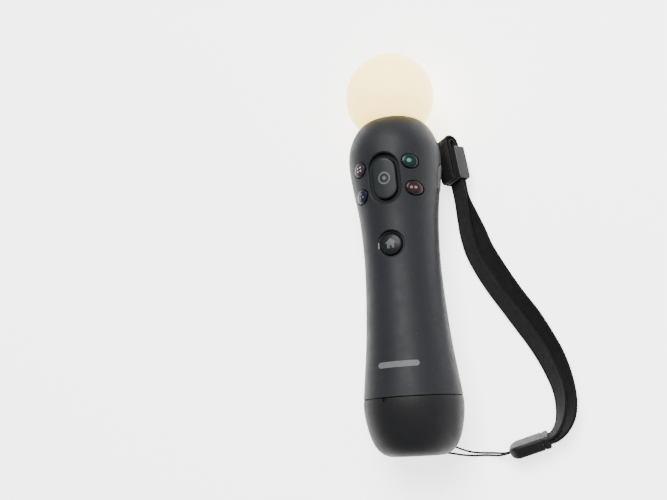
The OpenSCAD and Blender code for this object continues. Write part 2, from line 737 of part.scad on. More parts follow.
module usb_socket() {
    color([0.72, 0.72, 0.74]) upright() difference() {
        translate([-3.85, -3.9, 1.2]) cube([7.7, 3.9, 9.2]);
        translate([-3.45, -3.5, 0]) cube([6.9, 1.2, 7.6]);
        translate([-3.45, -1.6, 0]) cube([6.9, 1.2, 7.6]);
        translate([-3.45, -3.5, 0]) cube([0.9, 3.1, 7.6]);
        translate([2.55, -3.5, 0]) cube([0.9, 3.1, 7.6]);
    }
}
module expansion_socket() {
    color([0.12, 0.12, 0.13]) upright() difference() {
        translate([-6.2, 1, 1.2]) cube([12.4, 4.4, 8]);
        translate([-5.7, 1.5, 0]) cube([11.4, 1.3, 7.2]);
        translate([-5.7, 3.7, 0]) cube([11.4, 1.2, 7.2]);
        translate([-5.7, 1.5, 0]) cube([0.8, 3.4, 7.2]);
        translate([4.9, 1.5, 0]) cube([0.8, 3.4, 7.2]);
    }
}
module charge_contacts() {
    color([0.8, 0.65, 0.3]) upright() for (s = [-1, 1]) translate([s * 10.2 - 1.3, -2.25, 0])
        cube([2.6, 4.5, 0.5]);
}
module reset_switch() {
    color([0.2, 0.2, 0.21]) upright() difference() {
        translate([-11.2, board_thick, 7.5]) cube([4, 7, 3]);
        translate([-9.2, 6.2, 7]) cylinder(r = 0.6, h = 2.1);
    }
}

// ---- strap ----
module lanyard_cord() {
    route = spline(lanyard_route, 2);
    r = cord_diameter / 2;
    color([0.08, 0.08, 0.09]) sweep(route, [for (p = route) [0.5, 0.1, 0.85]],
        [for (k = [0:7]) [r * cos(45 * k), r * sin(45 * k)]]);
}
module strap_joint() {
    l = joint_size[0] / 2;
    w = joint_size[1] / 2;
    color([0.07, 0.07, 0.075]) joint_frame() difference() {
        translate([0, 0, -joint_size[2] / 2]) linear_extrude(joint_size[2]) {
            translate([-l + 4, -w]) square([2 * l - 5, 2 * w]);
            translate([-l, -w + 4]) square([2 * l, 2 * w - 8]);
            for (i = [-1, 1]) {
                translate([-l + 4, i * (w - 4)]) circle(4);
                translate([l - 1, i * (w - 1)]) circle(1);
            }
            translate([l - 1.01, -w + 1]) square([1.01, 2 * w - 2]);
        }
        translate([l - 5.4, -web_width / 2 - 0.2, -1.6]) cube([8, web_width + 0.4, 3.2]);
        translate([-l - 1, 0, 0]) rotate([0, 90, 0]) cylinder(r = 1.2, h = 4.2);
    }
}
module strap_webbing() {
    a = web_width / 2;
    b = web_thick / 2;
    color([0.06, 0.06, 0.065]) sweep(web_route, [for (p = web_route) heading(p[3], p[4])], [
        [a, -b + 0.3], [a, b - 0.3], [a - 0.3, b], [-a + 0.3, b],
        [-a, b - 0.3], [-a, -b + 0.3], [-a + 0.3, -b], [a - 0.3, -b]
    ]);
}
module strap_slider() {
    color([0.22, 0.225, 0.235]) slider_frame() difference() {
        translate([0, 0, -slider_size[2] / 2])
            round_box(slider_size[1], slider_size[0], slider_size[2], 0.8);
        translate([-web_width / 2 - 0.4, -10, -1.9]) cube([web_width + 0.8, 20, 3.8]);
    }
}

front_shell();
rear_shell();
base_cap();
light_sphere();
sphere_collar();
light_guide();
led_board();
rgb_led();
main_board();
shield_can();
chips();
tact_switches();
main_plunger();
action_plunger_a();
action_plunger_b();
action_plunger_c();
action_plunger_d();
home_plunger();
start_plunger();
select_plunger();
side_boards();
side_switches();
main_button();
action_button_a();
action_button_b();
action_button_c();
action_button_d();
home_button();
start_button();
select_button();
trigger();
trigger_bracket();
trigger_pin();
trigger_spring();
trigger_magnet();
trigger_sensor_board();
trigger_sensor();
inner_frame();
battery_pack();
battery_leads();
battery_connector();
motor_can();
motor_boot();
motor_rotor();
status_light_pipe();
usb_board();
usb_socket();
expansion_socket();
charge_contacts();
reset_button();
reset_switch();
base_leads();
lanyard_bar();
case_screws();
board_screws();
lanyard_cord();
strap_joint();
strap_webbing();
strap_slider();
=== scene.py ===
import math
import bpy
from mathutils import Matrix, Vector


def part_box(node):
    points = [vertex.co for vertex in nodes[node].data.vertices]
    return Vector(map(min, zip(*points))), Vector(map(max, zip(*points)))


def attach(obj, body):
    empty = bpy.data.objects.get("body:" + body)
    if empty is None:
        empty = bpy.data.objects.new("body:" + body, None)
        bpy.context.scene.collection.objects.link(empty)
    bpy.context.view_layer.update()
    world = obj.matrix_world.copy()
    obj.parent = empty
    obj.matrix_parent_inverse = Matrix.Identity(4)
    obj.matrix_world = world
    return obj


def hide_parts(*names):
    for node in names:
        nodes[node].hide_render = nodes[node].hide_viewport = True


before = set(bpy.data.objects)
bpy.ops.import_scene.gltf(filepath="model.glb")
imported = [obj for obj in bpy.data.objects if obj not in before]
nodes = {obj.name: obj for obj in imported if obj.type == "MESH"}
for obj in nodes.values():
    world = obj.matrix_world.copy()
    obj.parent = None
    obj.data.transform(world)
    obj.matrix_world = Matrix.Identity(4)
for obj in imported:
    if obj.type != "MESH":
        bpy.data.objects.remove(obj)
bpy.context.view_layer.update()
mm = 0.001

# the places that everything hangs on, all from the frame
capLow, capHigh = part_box("base_cap")
ballLow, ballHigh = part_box("light_sphere")
baseY = capLow.y
axisZ = (ballLow.z + ballHigh.z) / 2
bodyRadius = (capHigh.x - capLow.x) / 2 / mm
print("frame: base at", round(baseY, 4), "axis at", round(axisZ, 4), "radius", round(bodyRadius, 2))


# camera and light
view = {
    "place": (0.08852, -0.09021, 0.34053),
    "aim": (-0.35144, 0.25961, -0.8995),
    "up": (0.14314, 0.96439, 0.22241),
    "lens": 37.6,
}


def setCamera(v):
    bpy.ops.object.camera_add(location=v["place"])
    cam = bpy.context.object
    cam.name = "mainCamera"
    back = -Vector(v["aim"]).normalized()
    up = Vector(v["up"])
    right = up.cross(back).normalized()
    up = back.cross(right).normalized()
    cam.rotation_mode = "QUATERNION"
    cam.rotation_quaternion = Matrix((right, up, back)).transposed().to_quaternion()
    cam.data.sensor_width = 36
    cam.data.lens = v["lens"]
    cam.data.clip_start = 0.01
    cam.data.clip_end = 20
    bpy.context.scene.camera = cam
    return cam


def clearSelection():
    if bpy.context.object and bpy.context.object.mode != "OBJECT":
        bpy.ops.object.mode_set(mode="OBJECT")
    bpy.ops.object.select_all(action="DESELECT")


def pick(obj):
    clearSelection()
    obj.hide_set(False)
    obj.select_set(True)
    bpy.context.view_layer.objects.active = obj


clearSelection()
setCamera(view)

studio = {
    "sky": (1.0, 1.0, 1.0), "skyPower": 0.4,
    "lamps": [
        # name, place, aim, width, length, watts, colour
        ("overhead", (0.1, 0.55, 1.15), (0.0, 0.0, 0.02), 0.8, 0.7, 42.0, (1.0, 0.99, 0.98)),
        ("rightFill", (1.1, 0.1, 0.8), (0.0, 0.0, 0.02), 0.6, 0.9, 2.5, (0.96, 0.98, 1.0)),
    ],
    "floorColour": (0.95, 0.948, 0.945), "floorGlow": 2.6,
}


def lightStudio(s):
    world = bpy.data.worlds.new("paleRoom")
    bpy.context.scene.world = world
    world.use_nodes = True
    sky = world.node_tree.nodes["Background"]
    sky.inputs["Color"].default_value = (*s["sky"], 1)
    sky.inputs["Strength"].default_value = s["skyPower"]
    for name, place, aim, width, length, watts, colour in s["lamps"]:
        bpy.ops.object.light_add(type="AREA", location=place)
        lamp = bpy.context.object
        lamp.name = name
        lamp.data.shape = "RECTANGLE"
        lamp.data.size = width
        lamp.data.size_y = length
        lamp.data.energy = watts
        lamp.data.color = colour
        lamp.rotation_mode = "QUATERNION"
        lamp.rotation_quaternion = (Vector(aim) - Vector(place)).to_track_quat("-Z", "Y")


lightStudio(studio)
print("studio ready")


# small helpers for node materials
def newMaterial(name):
    mat = bpy.data.materials.new(name)
    mat.use_nodes = True
    tree = mat.node_tree
    return mat, tree, tree.nodes["Principled BSDF"]


def link(tree, a, b):
    tree.links.new(a, b)


def calc(tree, operation, a, b=0.5, clamp=False):
    n = tree.nodes.new("ShaderNodeMath")
    n.operation = operation
    n.use_clamp = clamp
    for i, v in enumerate((a, b)):
        if isinstance(v, (int, float)):
            n.inputs[i].default_value = v
        else:
            link(tree, v, n.inputs[i])
    return n.outputs[0]


def remap(tree, value, fromLow, fromHigh, toLow, toHigh, smooth=False):
    n = tree.nodes.new("ShaderNodeMapRange")
    n.interpolation_type = "SMOOTHSTEP" if smooth else "LINEAR"
    link(tree, value, n.inputs["Value"])
    for key, v in (("From Min", fromLow), ("From Max", fromHigh), ("To Min", toLow), ("To Max", toHigh)):
        n.inputs[key].default_value = v
    return n.outputs["Result"]


def mixColour(tree, factor, a, b):
    n = tree.nodes.new("ShaderNodeMix")
    n.data_type = "RGBA"
    for socket, v in ((n.inputs[0], factor), (n.inputs[6], a), (n.inputs[7], b)):
        if isinstance(v, (int, float)):
            socket.default_value = v
        elif isinstance(v, tuple):
            socket.default_value = (*v, 1)
        else:
            link(tree, v, socket)
    return n.outputs[2]


def coords(tree, kind="Object"):
    n = tree.nodes.new("ShaderNodeTexCoord")
    return n.outputs[kind]


def split(tree, vector):
    n = tree.nodes.new("ShaderNodeSeparateXYZ")
    link(tree, vector, n.inputs[0])
    return n.outputs


def noise(tree, vector, scale, detail, rough=0.5, stretch=None):
    if stretch:
        m = tree.nodes.new("ShaderNodeMapping")
        m.inputs["Scale"].default_value = stretch
        link(tree, vector, m.inputs["Vector"])
        vector = m.outputs[0]
    n = tree.nodes.new("ShaderNodeTexNoise")
    n.inputs["Scale"].default_value = scale
    n.inputs["Detail"].default_value = detail
    n.inputs["Roughness"].default_value = rough
    link(tree, vector, n.inputs["Vector"])
    return n.outputs["Fac"]


def bump(tree, height, distance, strength, normal=None):
    n = tree.nodes.new("ShaderNodeBump")
    n.inputs["Distance"].default_value = distance
    n.inputs["Strength"].default_value = strength
    link(tree, height, n.inputs["Height"])
    if normal is not None:
        link(tree, normal, n.inputs["Normal"])
    return n.outputs[0]


def specks(tree, vector, scale, size):
    n = tree.nodes.new("ShaderNodeTexVoronoi")
    n.inputs["Scale"].default_value = scale
    link(tree, vector, n.inputs["Vector"])
    chance = tree.nodes.new("ShaderNodeTexWhiteNoise")
    link(tree, n.outputs["Position"], chance.inputs["Vector"])
    near = remap(tree, n.outputs["Distance"], size * 0.5, size, 1, 0, True)
    return calc(tree, "MULTIPLY", near, calc(tree, "GREATER_THAN", chance.outputs["Value"], 0.82))


def edgeWear(tree):
    n = tree.nodes.new("ShaderNodeNewGeometry")
    return remap(tree, n.outputs["Pointiness"], 0.52, 0.58, 0, 1, True)


# marks drawn in the plastic: each gives 1 inside the shape, in metres on two object axes
def farFrom(tree, a, b):
    return calc(tree, "SQRT", calc(tree, "ADD", calc(tree, "MULTIPLY", a, a), calc(tree, "MULTIPLY", b, b)))


def disc(tree, a, b, ca, cb, radius, soft=0.00004):
    far = farFrom(tree, calc(tree, "SUBTRACT", a, ca), calc(tree, "SUBTRACT", b, cb))
    return remap(tree, far, radius - soft, radius + soft, 1, 0, True)


def slab(tree, a, b, ca, cb, halfA, halfB, corner, soft=0.00005):
    parts = []
    for s, c, half in ((a, ca, halfA), (b, cb, halfB)):
        d = calc(tree, "ABSOLUTE", calc(tree, "SUBTRACT", s, c))
        parts.append(calc(tree, "MAXIMUM", calc(tree, "SUBTRACT", d, half - corner), 0.0))
    return remap(tree, farFrom(tree, *parts), corner - soft, corner + soft, 1, 0, True)


def unionOf(tree, masks):
    out = masks[0]
    for m in masks[1:]:
        out = calc(tree, "MAXIMUM", out, m)
    return out


# small helpers for meshes
def startMesh(name):
    clearSelection()
    bpy.ops.mesh.primitive_plane_add(size=0.001)
    obj = bpy.context.object
    obj.name = name
    obj.data.name = name
    bpy.ops.object.mode_set(mode="EDIT")
    bpy.ops.mesh.select_all(action="SELECT")
    bpy.ops.mesh.merge(type="CENTER")
    return obj


def lathe(name, profile, steps, closed=True):
    # profile: (radius, height) in mm, turned round the body's axis
    obj = startMesh(name)
    spots = [Vector((0, baseY + h * mm, axisZ + r * mm)) for r, h in profile]
    bpy.ops.transform.translate(value=spots[0])
    here = spots[0]
    for spot in spots[1:] + ([spots[0]] if closed else []):
        bpy.ops.mesh.extrude_vertices_move(TRANSFORM_OT_translate={"value": spot - here})
        here = spot
    bpy.ops.mesh.select_all(action="SELECT")
    bpy.ops.mesh.remove_doubles(threshold=1e-6)
    bpy.ops.mesh.select_all(action="SELECT")
    bpy.ops.mesh.spin(steps=steps, angle=math.tau, center=(0, 0, axisZ), axis=(0, 1, 0))
    bpy.ops.mesh.select_all(action="SELECT")
    bpy.ops.mesh.remove_doubles(threshold=2e-6)
    bpy.ops.mesh.normals_make_consistent(inside=False)
    bpy.ops.object.mode_set(mode="OBJECT")
    return obj


def ringShape(w, l, corner, arc, sideU, sideV):
    # points of a rounded rectangle, in mm, going round from the right side
    corner = min(corner, w / 2, l / 2)
    cu, cv = w / 2 - corner, l / 2 - corner
    out = []
    corners = [(cu, cv, 0), (-cu, cv, 90), (-cu, -cv, 180), (cu, -cv, 270)]
    for i, (u, v, start) in enumerate(corners):
        for k in range(arc + 1):
            a = math.radians(start + 90 * k / arc)
            out.append((u + corner * math.cos(a), v + corner * math.sin(a)))
        nu, nv, _ = corners[(i + 1) % 4]
        a = math.radians(start + 90)
        end = (nu + corner * math.cos(a), nv + corner * math.sin(a))
        here = out[-1]
        cuts = sideU if i % 2 == 0 else sideV
        for k in range(1, cuts):
            t = k / cuts
            out.append((here[0] + (end[0] - here[0]) * t, here[1] + (end[1] - here[1]) * t))
    return out


def stack(name, rings, place, arc, sideV, sideU=1, lastFace=True):
    # rings: (width, length, corner, height, centreU, centreV); height is a number or a function of u, v
    # without a last face the last ring has shrunk to a line or a point
    count = len(ringShape(1, 1, 0.2, arc, sideU, sideV))
    clearSelection()
    bpy.ops.mesh.primitive_circle_add(vertices=count, radius=1, fill_type="NGON")
    obj = bpy.context.object
    obj.name = name
    obj.data.name = name
    before = None
    for number, (w, l, corner, height, *centre) in enumerate(rings):
        cu, cv = centre or (0, 0)
        flat = [(u + cu, v + cv) for u, v in ringShape(w, l, corner, arc, sideU, sideV)]
        spots = [Vector((u, v, height(u, v) if callable(height) else height)) for u, v in flat]
        if number:
            bpy.ops.object.mode_set(mode="EDIT")
            bpy.ops.mesh.extrude_region_move()
            bpy.ops.object.mode_set(mode="OBJECT")
        for v in obj.data.vertices:
            if not v.select:
                continue
            if before is None:
                at = v.index
            else:
                at = min(range(count), key=lambda i: (before[i] - v.co).length_squared)
            v.co = spots[at]
        before = spots
    bpy.ops.object.mode_set(mode="EDIT")
    if not lastFace:
        bpy.ops.mesh.delete(type="ONLY_FACE")
    bpy.ops.mesh.select_all(action="SELECT")
    bpy.ops.mesh.remove_doubles(threshold=2e-4)
    bpy.ops.object.mode_set(mode="OBJECT")
    for v in obj.data.vertices:
        v.co = place(*v.co)
    bpy.ops.object.mode_set(mode="EDIT")
    bpy.ops.mesh.select_all(action="SELECT")
    bpy.ops.mesh.normals_make_consistent(inside=False)
    bpy.ops.object.mode_set(mode="OBJECT")
    return obj


def onFront(u, v, w):
    return (u * mm, baseY + v * mm, axisZ + w * mm)


def onRear(u, v, w):
    return (-u * mm, baseY + v * mm, axisZ - w * mm)


def onSide(side):
    return lambda u, v, w: (side * w * mm, baseY + v * mm, axisZ + side * u * mm)


def onBase(u, v, w):
    return (u * mm, baseY - w * mm, axisZ - v * mm)


def combine(obj, tool, operation):
    # the tool is used up
    pick(obj)
    mod = obj.modifiers.new("combine", "BOOLEAN")
    mod.object = tool
    mod.operation = operation
    mod.solver = "EXACT"
    bpy.ops.object.modifier_apply(modifier=mod.name)
    bpy.data.objects.remove(tool)


def smoothed(obj, angle=32):
    pick(obj)
    bpy.ops.object.shade_smooth_by_angle(angle=math.radians(angle))
    mod = obj.modifiers.new("evenNormals", "WEIGHTED_NORMAL")
    mod.keep_sharp = True
    mod.weight = 60
    bpy.ops.object.modifier_apply(modifier=mod.name)
    return obj


def settle(obj, name, material, body, slotName, *cadNodes):
    obj.name = name
    obj.data.name = name
    obj.data.materials.clear()
    obj.data.materials.append(material)
    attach(obj, body)
    if cadNodes:
        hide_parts(*cadNodes)
    return obj


# floor
def layFloor(colour, glow):
    bpy.ops.mesh.primitive_plane_add(size=6, location=(0, 0, 0))
    floor = bpy.context.object
    floor.name = "paperFloor"
    mat, tree, skin = newMaterial("paperSheet")
    where = coords(tree)
    tone = noise(tree, where, 2.5, 3)
    link(tree, mixColour(tree, tone, colour, tuple(c * 0.975 for c in colour)), skin.inputs["Base Color"])
    link(tree, remap(tree, noise(tree, where, 40, 3), 0.3, 0.7, 0.5, 0.62), skin.inputs["Roughness"])
    link(tree, bump(tree, noise(tree, where, 900, 3), 0.00004, 0.25), skin.inputs["Normal"])
    skin.inputs["Emission Color"].default_value = (1, 1, 1, 1)
    skin.inputs["Emission Strength"].default_value = glow
    floor.data.materials.append(mat)
    return floor


layFloor(studio["floorColour"], studio["floorGlow"])


# cords
def catmull(a, b, c, d, t):
    return 0.5 * (2 * b + (c - a) * t + (2 * a - 5 * b + 4 * c - d) * t * t
                  + (3 * b - a - 3 * c + d) * t ** 3)


def throughPoints(points, cuts):
    v = [Vector(p) for p in points]
    last = len(v) - 1
    out = []
    for i in range(last):
        for k in range(cuts):
            out.append(catmull(v[max(i - 1, 0)], v[i], v[i + 1], v[min(i + 2, last)], k / cuts))
    out.append(v[-1])
    return out


def sweep(name, route, widths, section):
    # a section in mm swept along a route, with a UV map whose unit is 10 mm
    uvScale = 0.1
    verts, faces, uvs = [], [], []
    last, n = len(route) - 1, len(section)
    gone = [0.0]
    for i in range(last):
        gone.append(gone[-1] + (route[i + 1] - route[i]).length)
    girth = [0.0]
    for k in range(n):
        a, b = section[k], section[(k + 1) % n]
        girth.append(girth[-1] + math.hypot(b[0] - a[0], b[1] - a[1]))
    for i, p in enumerate(route):
        t = (route[min(i + 1, last)] - route[max(i - 1, 0)]).normalized()
        w = widths[i] - t * widths[i].dot(t)
        w.normalize()
        m = t.cross(w)
        verts += [p + w * a * mm + m * b * mm for a, b in section]
    for i in range(last):
        for k in range(n):
            a, b = i * n + k, i * n + (k + 1) % n
            faces.append((a, b, b + n, a + n))
            uvs.append([(girth[k], gone[i] / mm), (girth[k + 1], gone[i] / mm),
                        (girth[k + 1], gone[i + 1] / mm), (girth[k], gone[i + 1] / mm)])
    for ring, turn in ((0, -1), (last, 1)):
        loop = [ring * n + k for k in range(n)][::turn]
        faces.append(tuple(loop))
        uvs.append([(girth[j % n], gone[ring] / mm) for j in loop])
    mesh = bpy.data.meshes.new(name)
    mesh.from_pydata(verts, [], faces)
    layer = mesh.uv_layers.new(name="alongCord")
    for f, corners in zip(mesh.polygons, uvs):
        for loop, uv in zip(f.loop_indices, corners):
            layer.data[loop].uv = (uv[0] * uvScale, uv[1] * uvScale)
    obj = bpy.data.objects.new(name, mesh)
    bpy.context.scene.collection.objects.link(obj)
    pick(obj)
    bpy.ops.object.mode_set(mode="EDIT")
    bpy.ops.mesh.select_all(action="SELECT")
    bpy.ops.mesh.normals_make_consistent(inside=False)
    bpy.ops.object.mode_set(mode="OBJECT")
    bpy.ops.object.shade_smooth()
    return obj


lanyard = {
    "thick": 0.9, "length": 0.0832, "sides": 12, "cuts": 8,
    "route": [
        (41.1, -100.2, 6.6), (38.6, -100.9, 6.6), (36, -101.6, 5.6), (33, -102, 3.2),
        (30, -101.9, 1.3), (26, -101.7, 0.6), (21.6, -101.7, 1.2), (18.6, -101.4, 3.2),
        (16, -100.9, 6.2), (13.6, -100.2, 9.3), (11.4, -99.7, 11.6), (9.62, -99.6, 13.38),
        (8.72, -99.07, 14.28), (8.34, -97.8, 14.66), (8.72, -96.53, 14.28), (9.62, -96, 13.38),
        (11.3, -96, 11.7), (12.9, -96.4, 10.1), (15, -97.6, 7.6), (18, -99.2, 3.8),
        (21.4, -100.2, 1.4), (26, -100.65, 0.6), (30, -100.8, 0.9), (33, -101, 2.2),
        (36, -101, 4.4), (38.5, -100.6, 5.6), (41, -99.9, 5.6),
    ],
}
webbing = {
    "width": 9.2, "thick": 1.3, "length": 0.384, "cuts": 8,
    # x, y, z, heading and tilt of the width
    "up": [
        (51.4, -96.3, 6.3, -74, 72), (56.2, -94.9, 6.3, -73, 72), (59.2, -92.8, 6.1, -54, 70),
        (61.6, -88.8, 5.7, -30, 66), (63.1, -83, 5.3, -10, 58), (63.4, -77, 4.8, 2, 51),
        (62.4, -70.6, 4.4, 12, 46), (59.4, -61.5, 4.2, 22, 42), (55.3, -52.5, 4, 27, 40),
        (50.1, -43.2, 4, 30, 38), (44.8, -34, 4, 30, 38), (39.4, -24.7, 4, 28, 38),
        (34.6, -15.1, 4.1, 24, 38), (31, -6, 4.5, 17, 38), (29.1, 3.3, 5.2, 10, 39),
        (28.6, 12.8, 6.6, 7, 40),
    ],
    # through the slider and back over it: along it, and out of its face
    "fold": [
        (-18, 0.85), (-9, 0.85), (0, 0.85), (8, 0.85), (11.2, 0.85), (12.38, 1.34), (12.88, 2.52),
        (12.38, 3.71), (11.2, 4.2), (6, 4.2), (0, 4.2), (-5, 4.25), (-7.2, 4.3), (-8.1, 4.6),
        (-8.4, 5.35), (-8.1, 6.1), (-7, 6.4), (-2, 6.4), (4, 6.4), (8, 6.4), (11.2, 6.4),
        (13.76, 5.34), (14.82, 2.78), (13.76, 0.21), (11.2, -0.85), (8, -0.85), (0, -0.85),
        (-9, -0.85), (-18, -0.85),
    ],
    "down": [
        (32, 13.6, 5.4, 8, 37), (35, 4.5, 4.3, 13, 35), (37.5, -4.2, 3.8, 20, 34),
        (40.9, -12.1, 3.6, 25, 33), (45.4, -21.5, 3.6, 28, 33), (50.4, -30.9, 3.6, 29, 33),
        (55.7, -40, 3.6, 29, 33), (60.4, -50, 3.7, 26, 35), (64.2, -59.5, 3.9, 20, 38),
        (66.6, -69.6, 4.3, 11, 43), (67.6, -79.3, 4.9, -2, 53), (66.6, -86.4, 5.4, -20, 61),
        (63.8, -91.7, 5.8, -44, 68), (60.2, -94.9, 6, -62, 71), (56.6, -96.3, 5.9, -74, 72),
        (51.8, -97.7, 5.9, -74, 72),
    ],
    "sliderPlace": (27, 40, 7), "sliderTurn": 6, "sliderTilt": 40,
}


def sliderAxes(w):
    turn, tilt = math.radians(w["sliderTurn"]), math.radians(w["sliderTilt"])
    long = Vector((-math.sin(turn), math.cos(turn), 0))
    wide = Vector((math.cos(tilt) * math.cos(turn), math.cos(tilt) * math.sin(turn), math.sin(tilt)))
    return wide, long, wide.cross(long)


def braidMaterial(name, dark, light, rows, diagonal, depth):
    # woven nylon laid out in the cord's own UV map: rows of thread per 10 mm
    mat, tree, skin = newMaterial(name)
    uv = split(tree, coords(tree, "UV"))
    across = calc(tree, "MULTIPLY", uv[0], rows)
    along = calc(tree, "MULTIPLY", uv[1], rows)
    slant = calc(tree, "ADD", along, calc(tree, "PINGPONG", across, diagonal))
    rib = calc(tree, "ABSOLUTE", calc(tree, "SINE", calc(tree, "MULTIPLY", slant, math.pi)))
    thread = calc(tree, "ABSOLUTE", calc(tree, "SINE", calc(tree, "MULTIPLY", across, math.pi)))
    weave = calc(tree, "MULTIPLY", rib, calc(tree, "POWER", thread, 0.5))
    fuzz = noise(tree, coords(tree), 5000, 3, 0.6)
    patch = noise(tree, coords(tree), 220, 3)
    tone = calc(tree, "ADD", calc(tree, "MULTIPLY", weave, 0.55), calc(tree, "MULTIPLY", fuzz, 0.45))
    colour = mixColour(tree, tone, dark, light)
    colour = mixColour(tree, remap(tree, patch, 0.35, 0.7, 0, 0.35), colour, tuple(c * 1.5 for c in light))
    link(tree, colour, skin.inputs["Base Color"])
    link(tree, remap(tree, weave, 0, 1, 0.86, 0.62), skin.inputs["Roughness"])
    skin.inputs["Sheen Weight"].default_value = 0.04
    skin.inputs["Sheen Roughness"].default_value = 0.45
    skin.inputs["Sheen Tint"].default_value = (0.6, 0.62, 0.66, 1)
    skin.inputs["Specular IOR Level"].default_value = 0.12
    fine = bump(tree, fuzz, 0.00004, 0.5)
    link(tree, bump(tree, weave, depth, 0.9, fine), skin.inputs["Normal"])
    return mat


def makeLanyard(c):
    route = [p * mm for p in throughPoints(c["route"], c["cuts"])]
    r = c["thick"] / 2
    ring = [(r * math.cos(math.tau * k / c["sides"]), r * math.sin(math.tau * k / c["sides"]))
            for k in range(c["sides"])]
    obj = sweep("lanyardCord", route, [Vector((0.5, 0.1, 0.85))] * len(route), ring)
    mat = braidMaterial("lanyardBraid", (0.0012, 0.0012, 0.0014), (0.0055, 0.0055, 0.006), 28, 1.4, 0.00006)
    settle(obj, "lanyardCord", mat, "controller", "cord_black", "lanyard_cord")
    return obj


def makeWebbing(c):
    _, long, out = sliderAxes(c)
    centre = Vector(c["sliderPlace"])
    spots = list(c["up"])
    spots += [(*(centre + long * a + out * b), c["sliderTurn"], c["sliderTilt"]) for a, b in c["fold"]]
    spots += list(c["down"])
    line = [p * mm for p in throughPoints([s[:3] for s in spots], c["cuts"])]
    turns = throughPoints([(s[3], s[4], 0) for s in spots], c["cuts"])
    widths = [Vector((math.cos(math.radians(t.y)) * math.cos(math.radians(t.x)),
                      math.cos(math.radians(t.y)) * math.sin(math.radians(t.x)),
                      math.sin(math.radians(t.y)))) for t in turns]
    a, b = c["width"] / 2, c["thick"] / 2
    # thin in the middle, with a round selvedge down each edge
    half = [(a - 0.62, b), (a - 1.0, b - 0.1), (a - 1.35, b - 0.16), (a * 0.45, b - 0.12), (0, b - 0.1),
            (-a * 0.45, b - 0.12), (-a + 1.35, b - 0.16), (-a + 1.0, b - 0.1), (-a + 0.62, b)]
    left = [(-a + 0.3, b - 0.09), (-a + 0.08, b - 0.32), (-a, 0)]
    ring = half + left + [(-a + 0.08, -b + 0.32), (-a + 0.3, -b + 0.09)]
    ring += [(-p[0], -p[1]) for p in half] + [(-p[0], -p[1]) for p in left]
    ring += [(a - 0.08, b - 0.32), (a - 0.3, b - 0.09)]
    obj = sweep("strapWebbing", line, widths, ring)
    mat = braidMaterial("webbingWeave", (0.0012, 0.0012, 0.0014), (0.006, 0.006, 0.0066), 12, 3.0, 0.00012)
    settle(obj, "strapWebbing", mat, "controller", "cord_black", "strap_webbing")
    return obj


makeLanyard(lanyard)
makeWebbing(webbing)
print("cords laid")


# plastics and paints
def mouldedMaterial(name, p):
    # p: colour and roughness, grain and its depth in mm, and what goes on top of them
    mat, tree, skin = newMaterial(name)
    where = coords(tree)
    grain = noise(tree, where, 1000 / p["grain"], 2.5, 0.55)
    cloud = noise(tree, where, p.get("cloud", 45), 4, 0.6)
    base = mixColour(tree, remap(tree, cloud, 0.3, 0.72, 0, 1), p["colour"],
                     tuple(c * p.get("fade", 1.18) for c in p["colour"]))
    base = mixColour(tree, calc(tree, "MULTIPLY", grain, 0.25), base, tuple(c * 1.7 for c in p["colour"]))
    if p.get("wear"):
        patchy = remap(tree, noise(tree, where, 320, 3), 0.42, 0.62, 0, p["wear"])
        rub = calc(tree, "MULTIPLY", edgeWear(tree), patchy)
        base = mixColour(tree, rub, base, tuple(min(1, c * 2.6 + 0.02) for c in p["colour"]))
    if p.get("dust"):
        lint = specks(tree, where, 700, 0.13)
        base = mixColour(tree, calc(tree, "MULTIPLY", lint, p["dust"]), base, (0.55, 0.54, 0.52))
    rough = remap(tree, noise(tree, where, 160, 5, 0.65), 0.3, 0.7, p["rough"] - 0.06, p["rough"] + 0.07)
    if p.get("recessShade"):
        # painted shade: the floors of the recesses round the buttons are drawn darker than the skin, and made
        # duller
        recessShade = p["recessShade"](tree, split(tree, where))
        base = mixColour(tree, recessShade, base, tuple(c * 0.9 for c in p["colour"]))
        rough = calc(tree, "ADD", rough, calc(tree, "MULTIPLY", recessShade, 0.4))
    if p.get("mark"):
        marks, paint = p["mark"](tree, split(tree, where))
        for mask, colour in zip(marks, paint):
            base = mixColour(tree, mask, base, colour)
    link(tree, base, skin.inputs["Base Color"])
    link(tree, rough, skin.inputs["Roughness"])
    skin.inputs["Specular IOR Level"].default_value = p.get("shine", 0.5)
    skin.inputs["Coat Weight"].default_value = p.get("coat", 0.0)
    skin.inputs["Coat Roughness"].default_value = 0.1
    fine = bump(tree, grain, p["depth"] * mm, p.get("bite", 0.5))
    link(tree, bump(tree, cloud, 0.00006, 0.12, fine), skin.inputs["Normal"])
    return mat


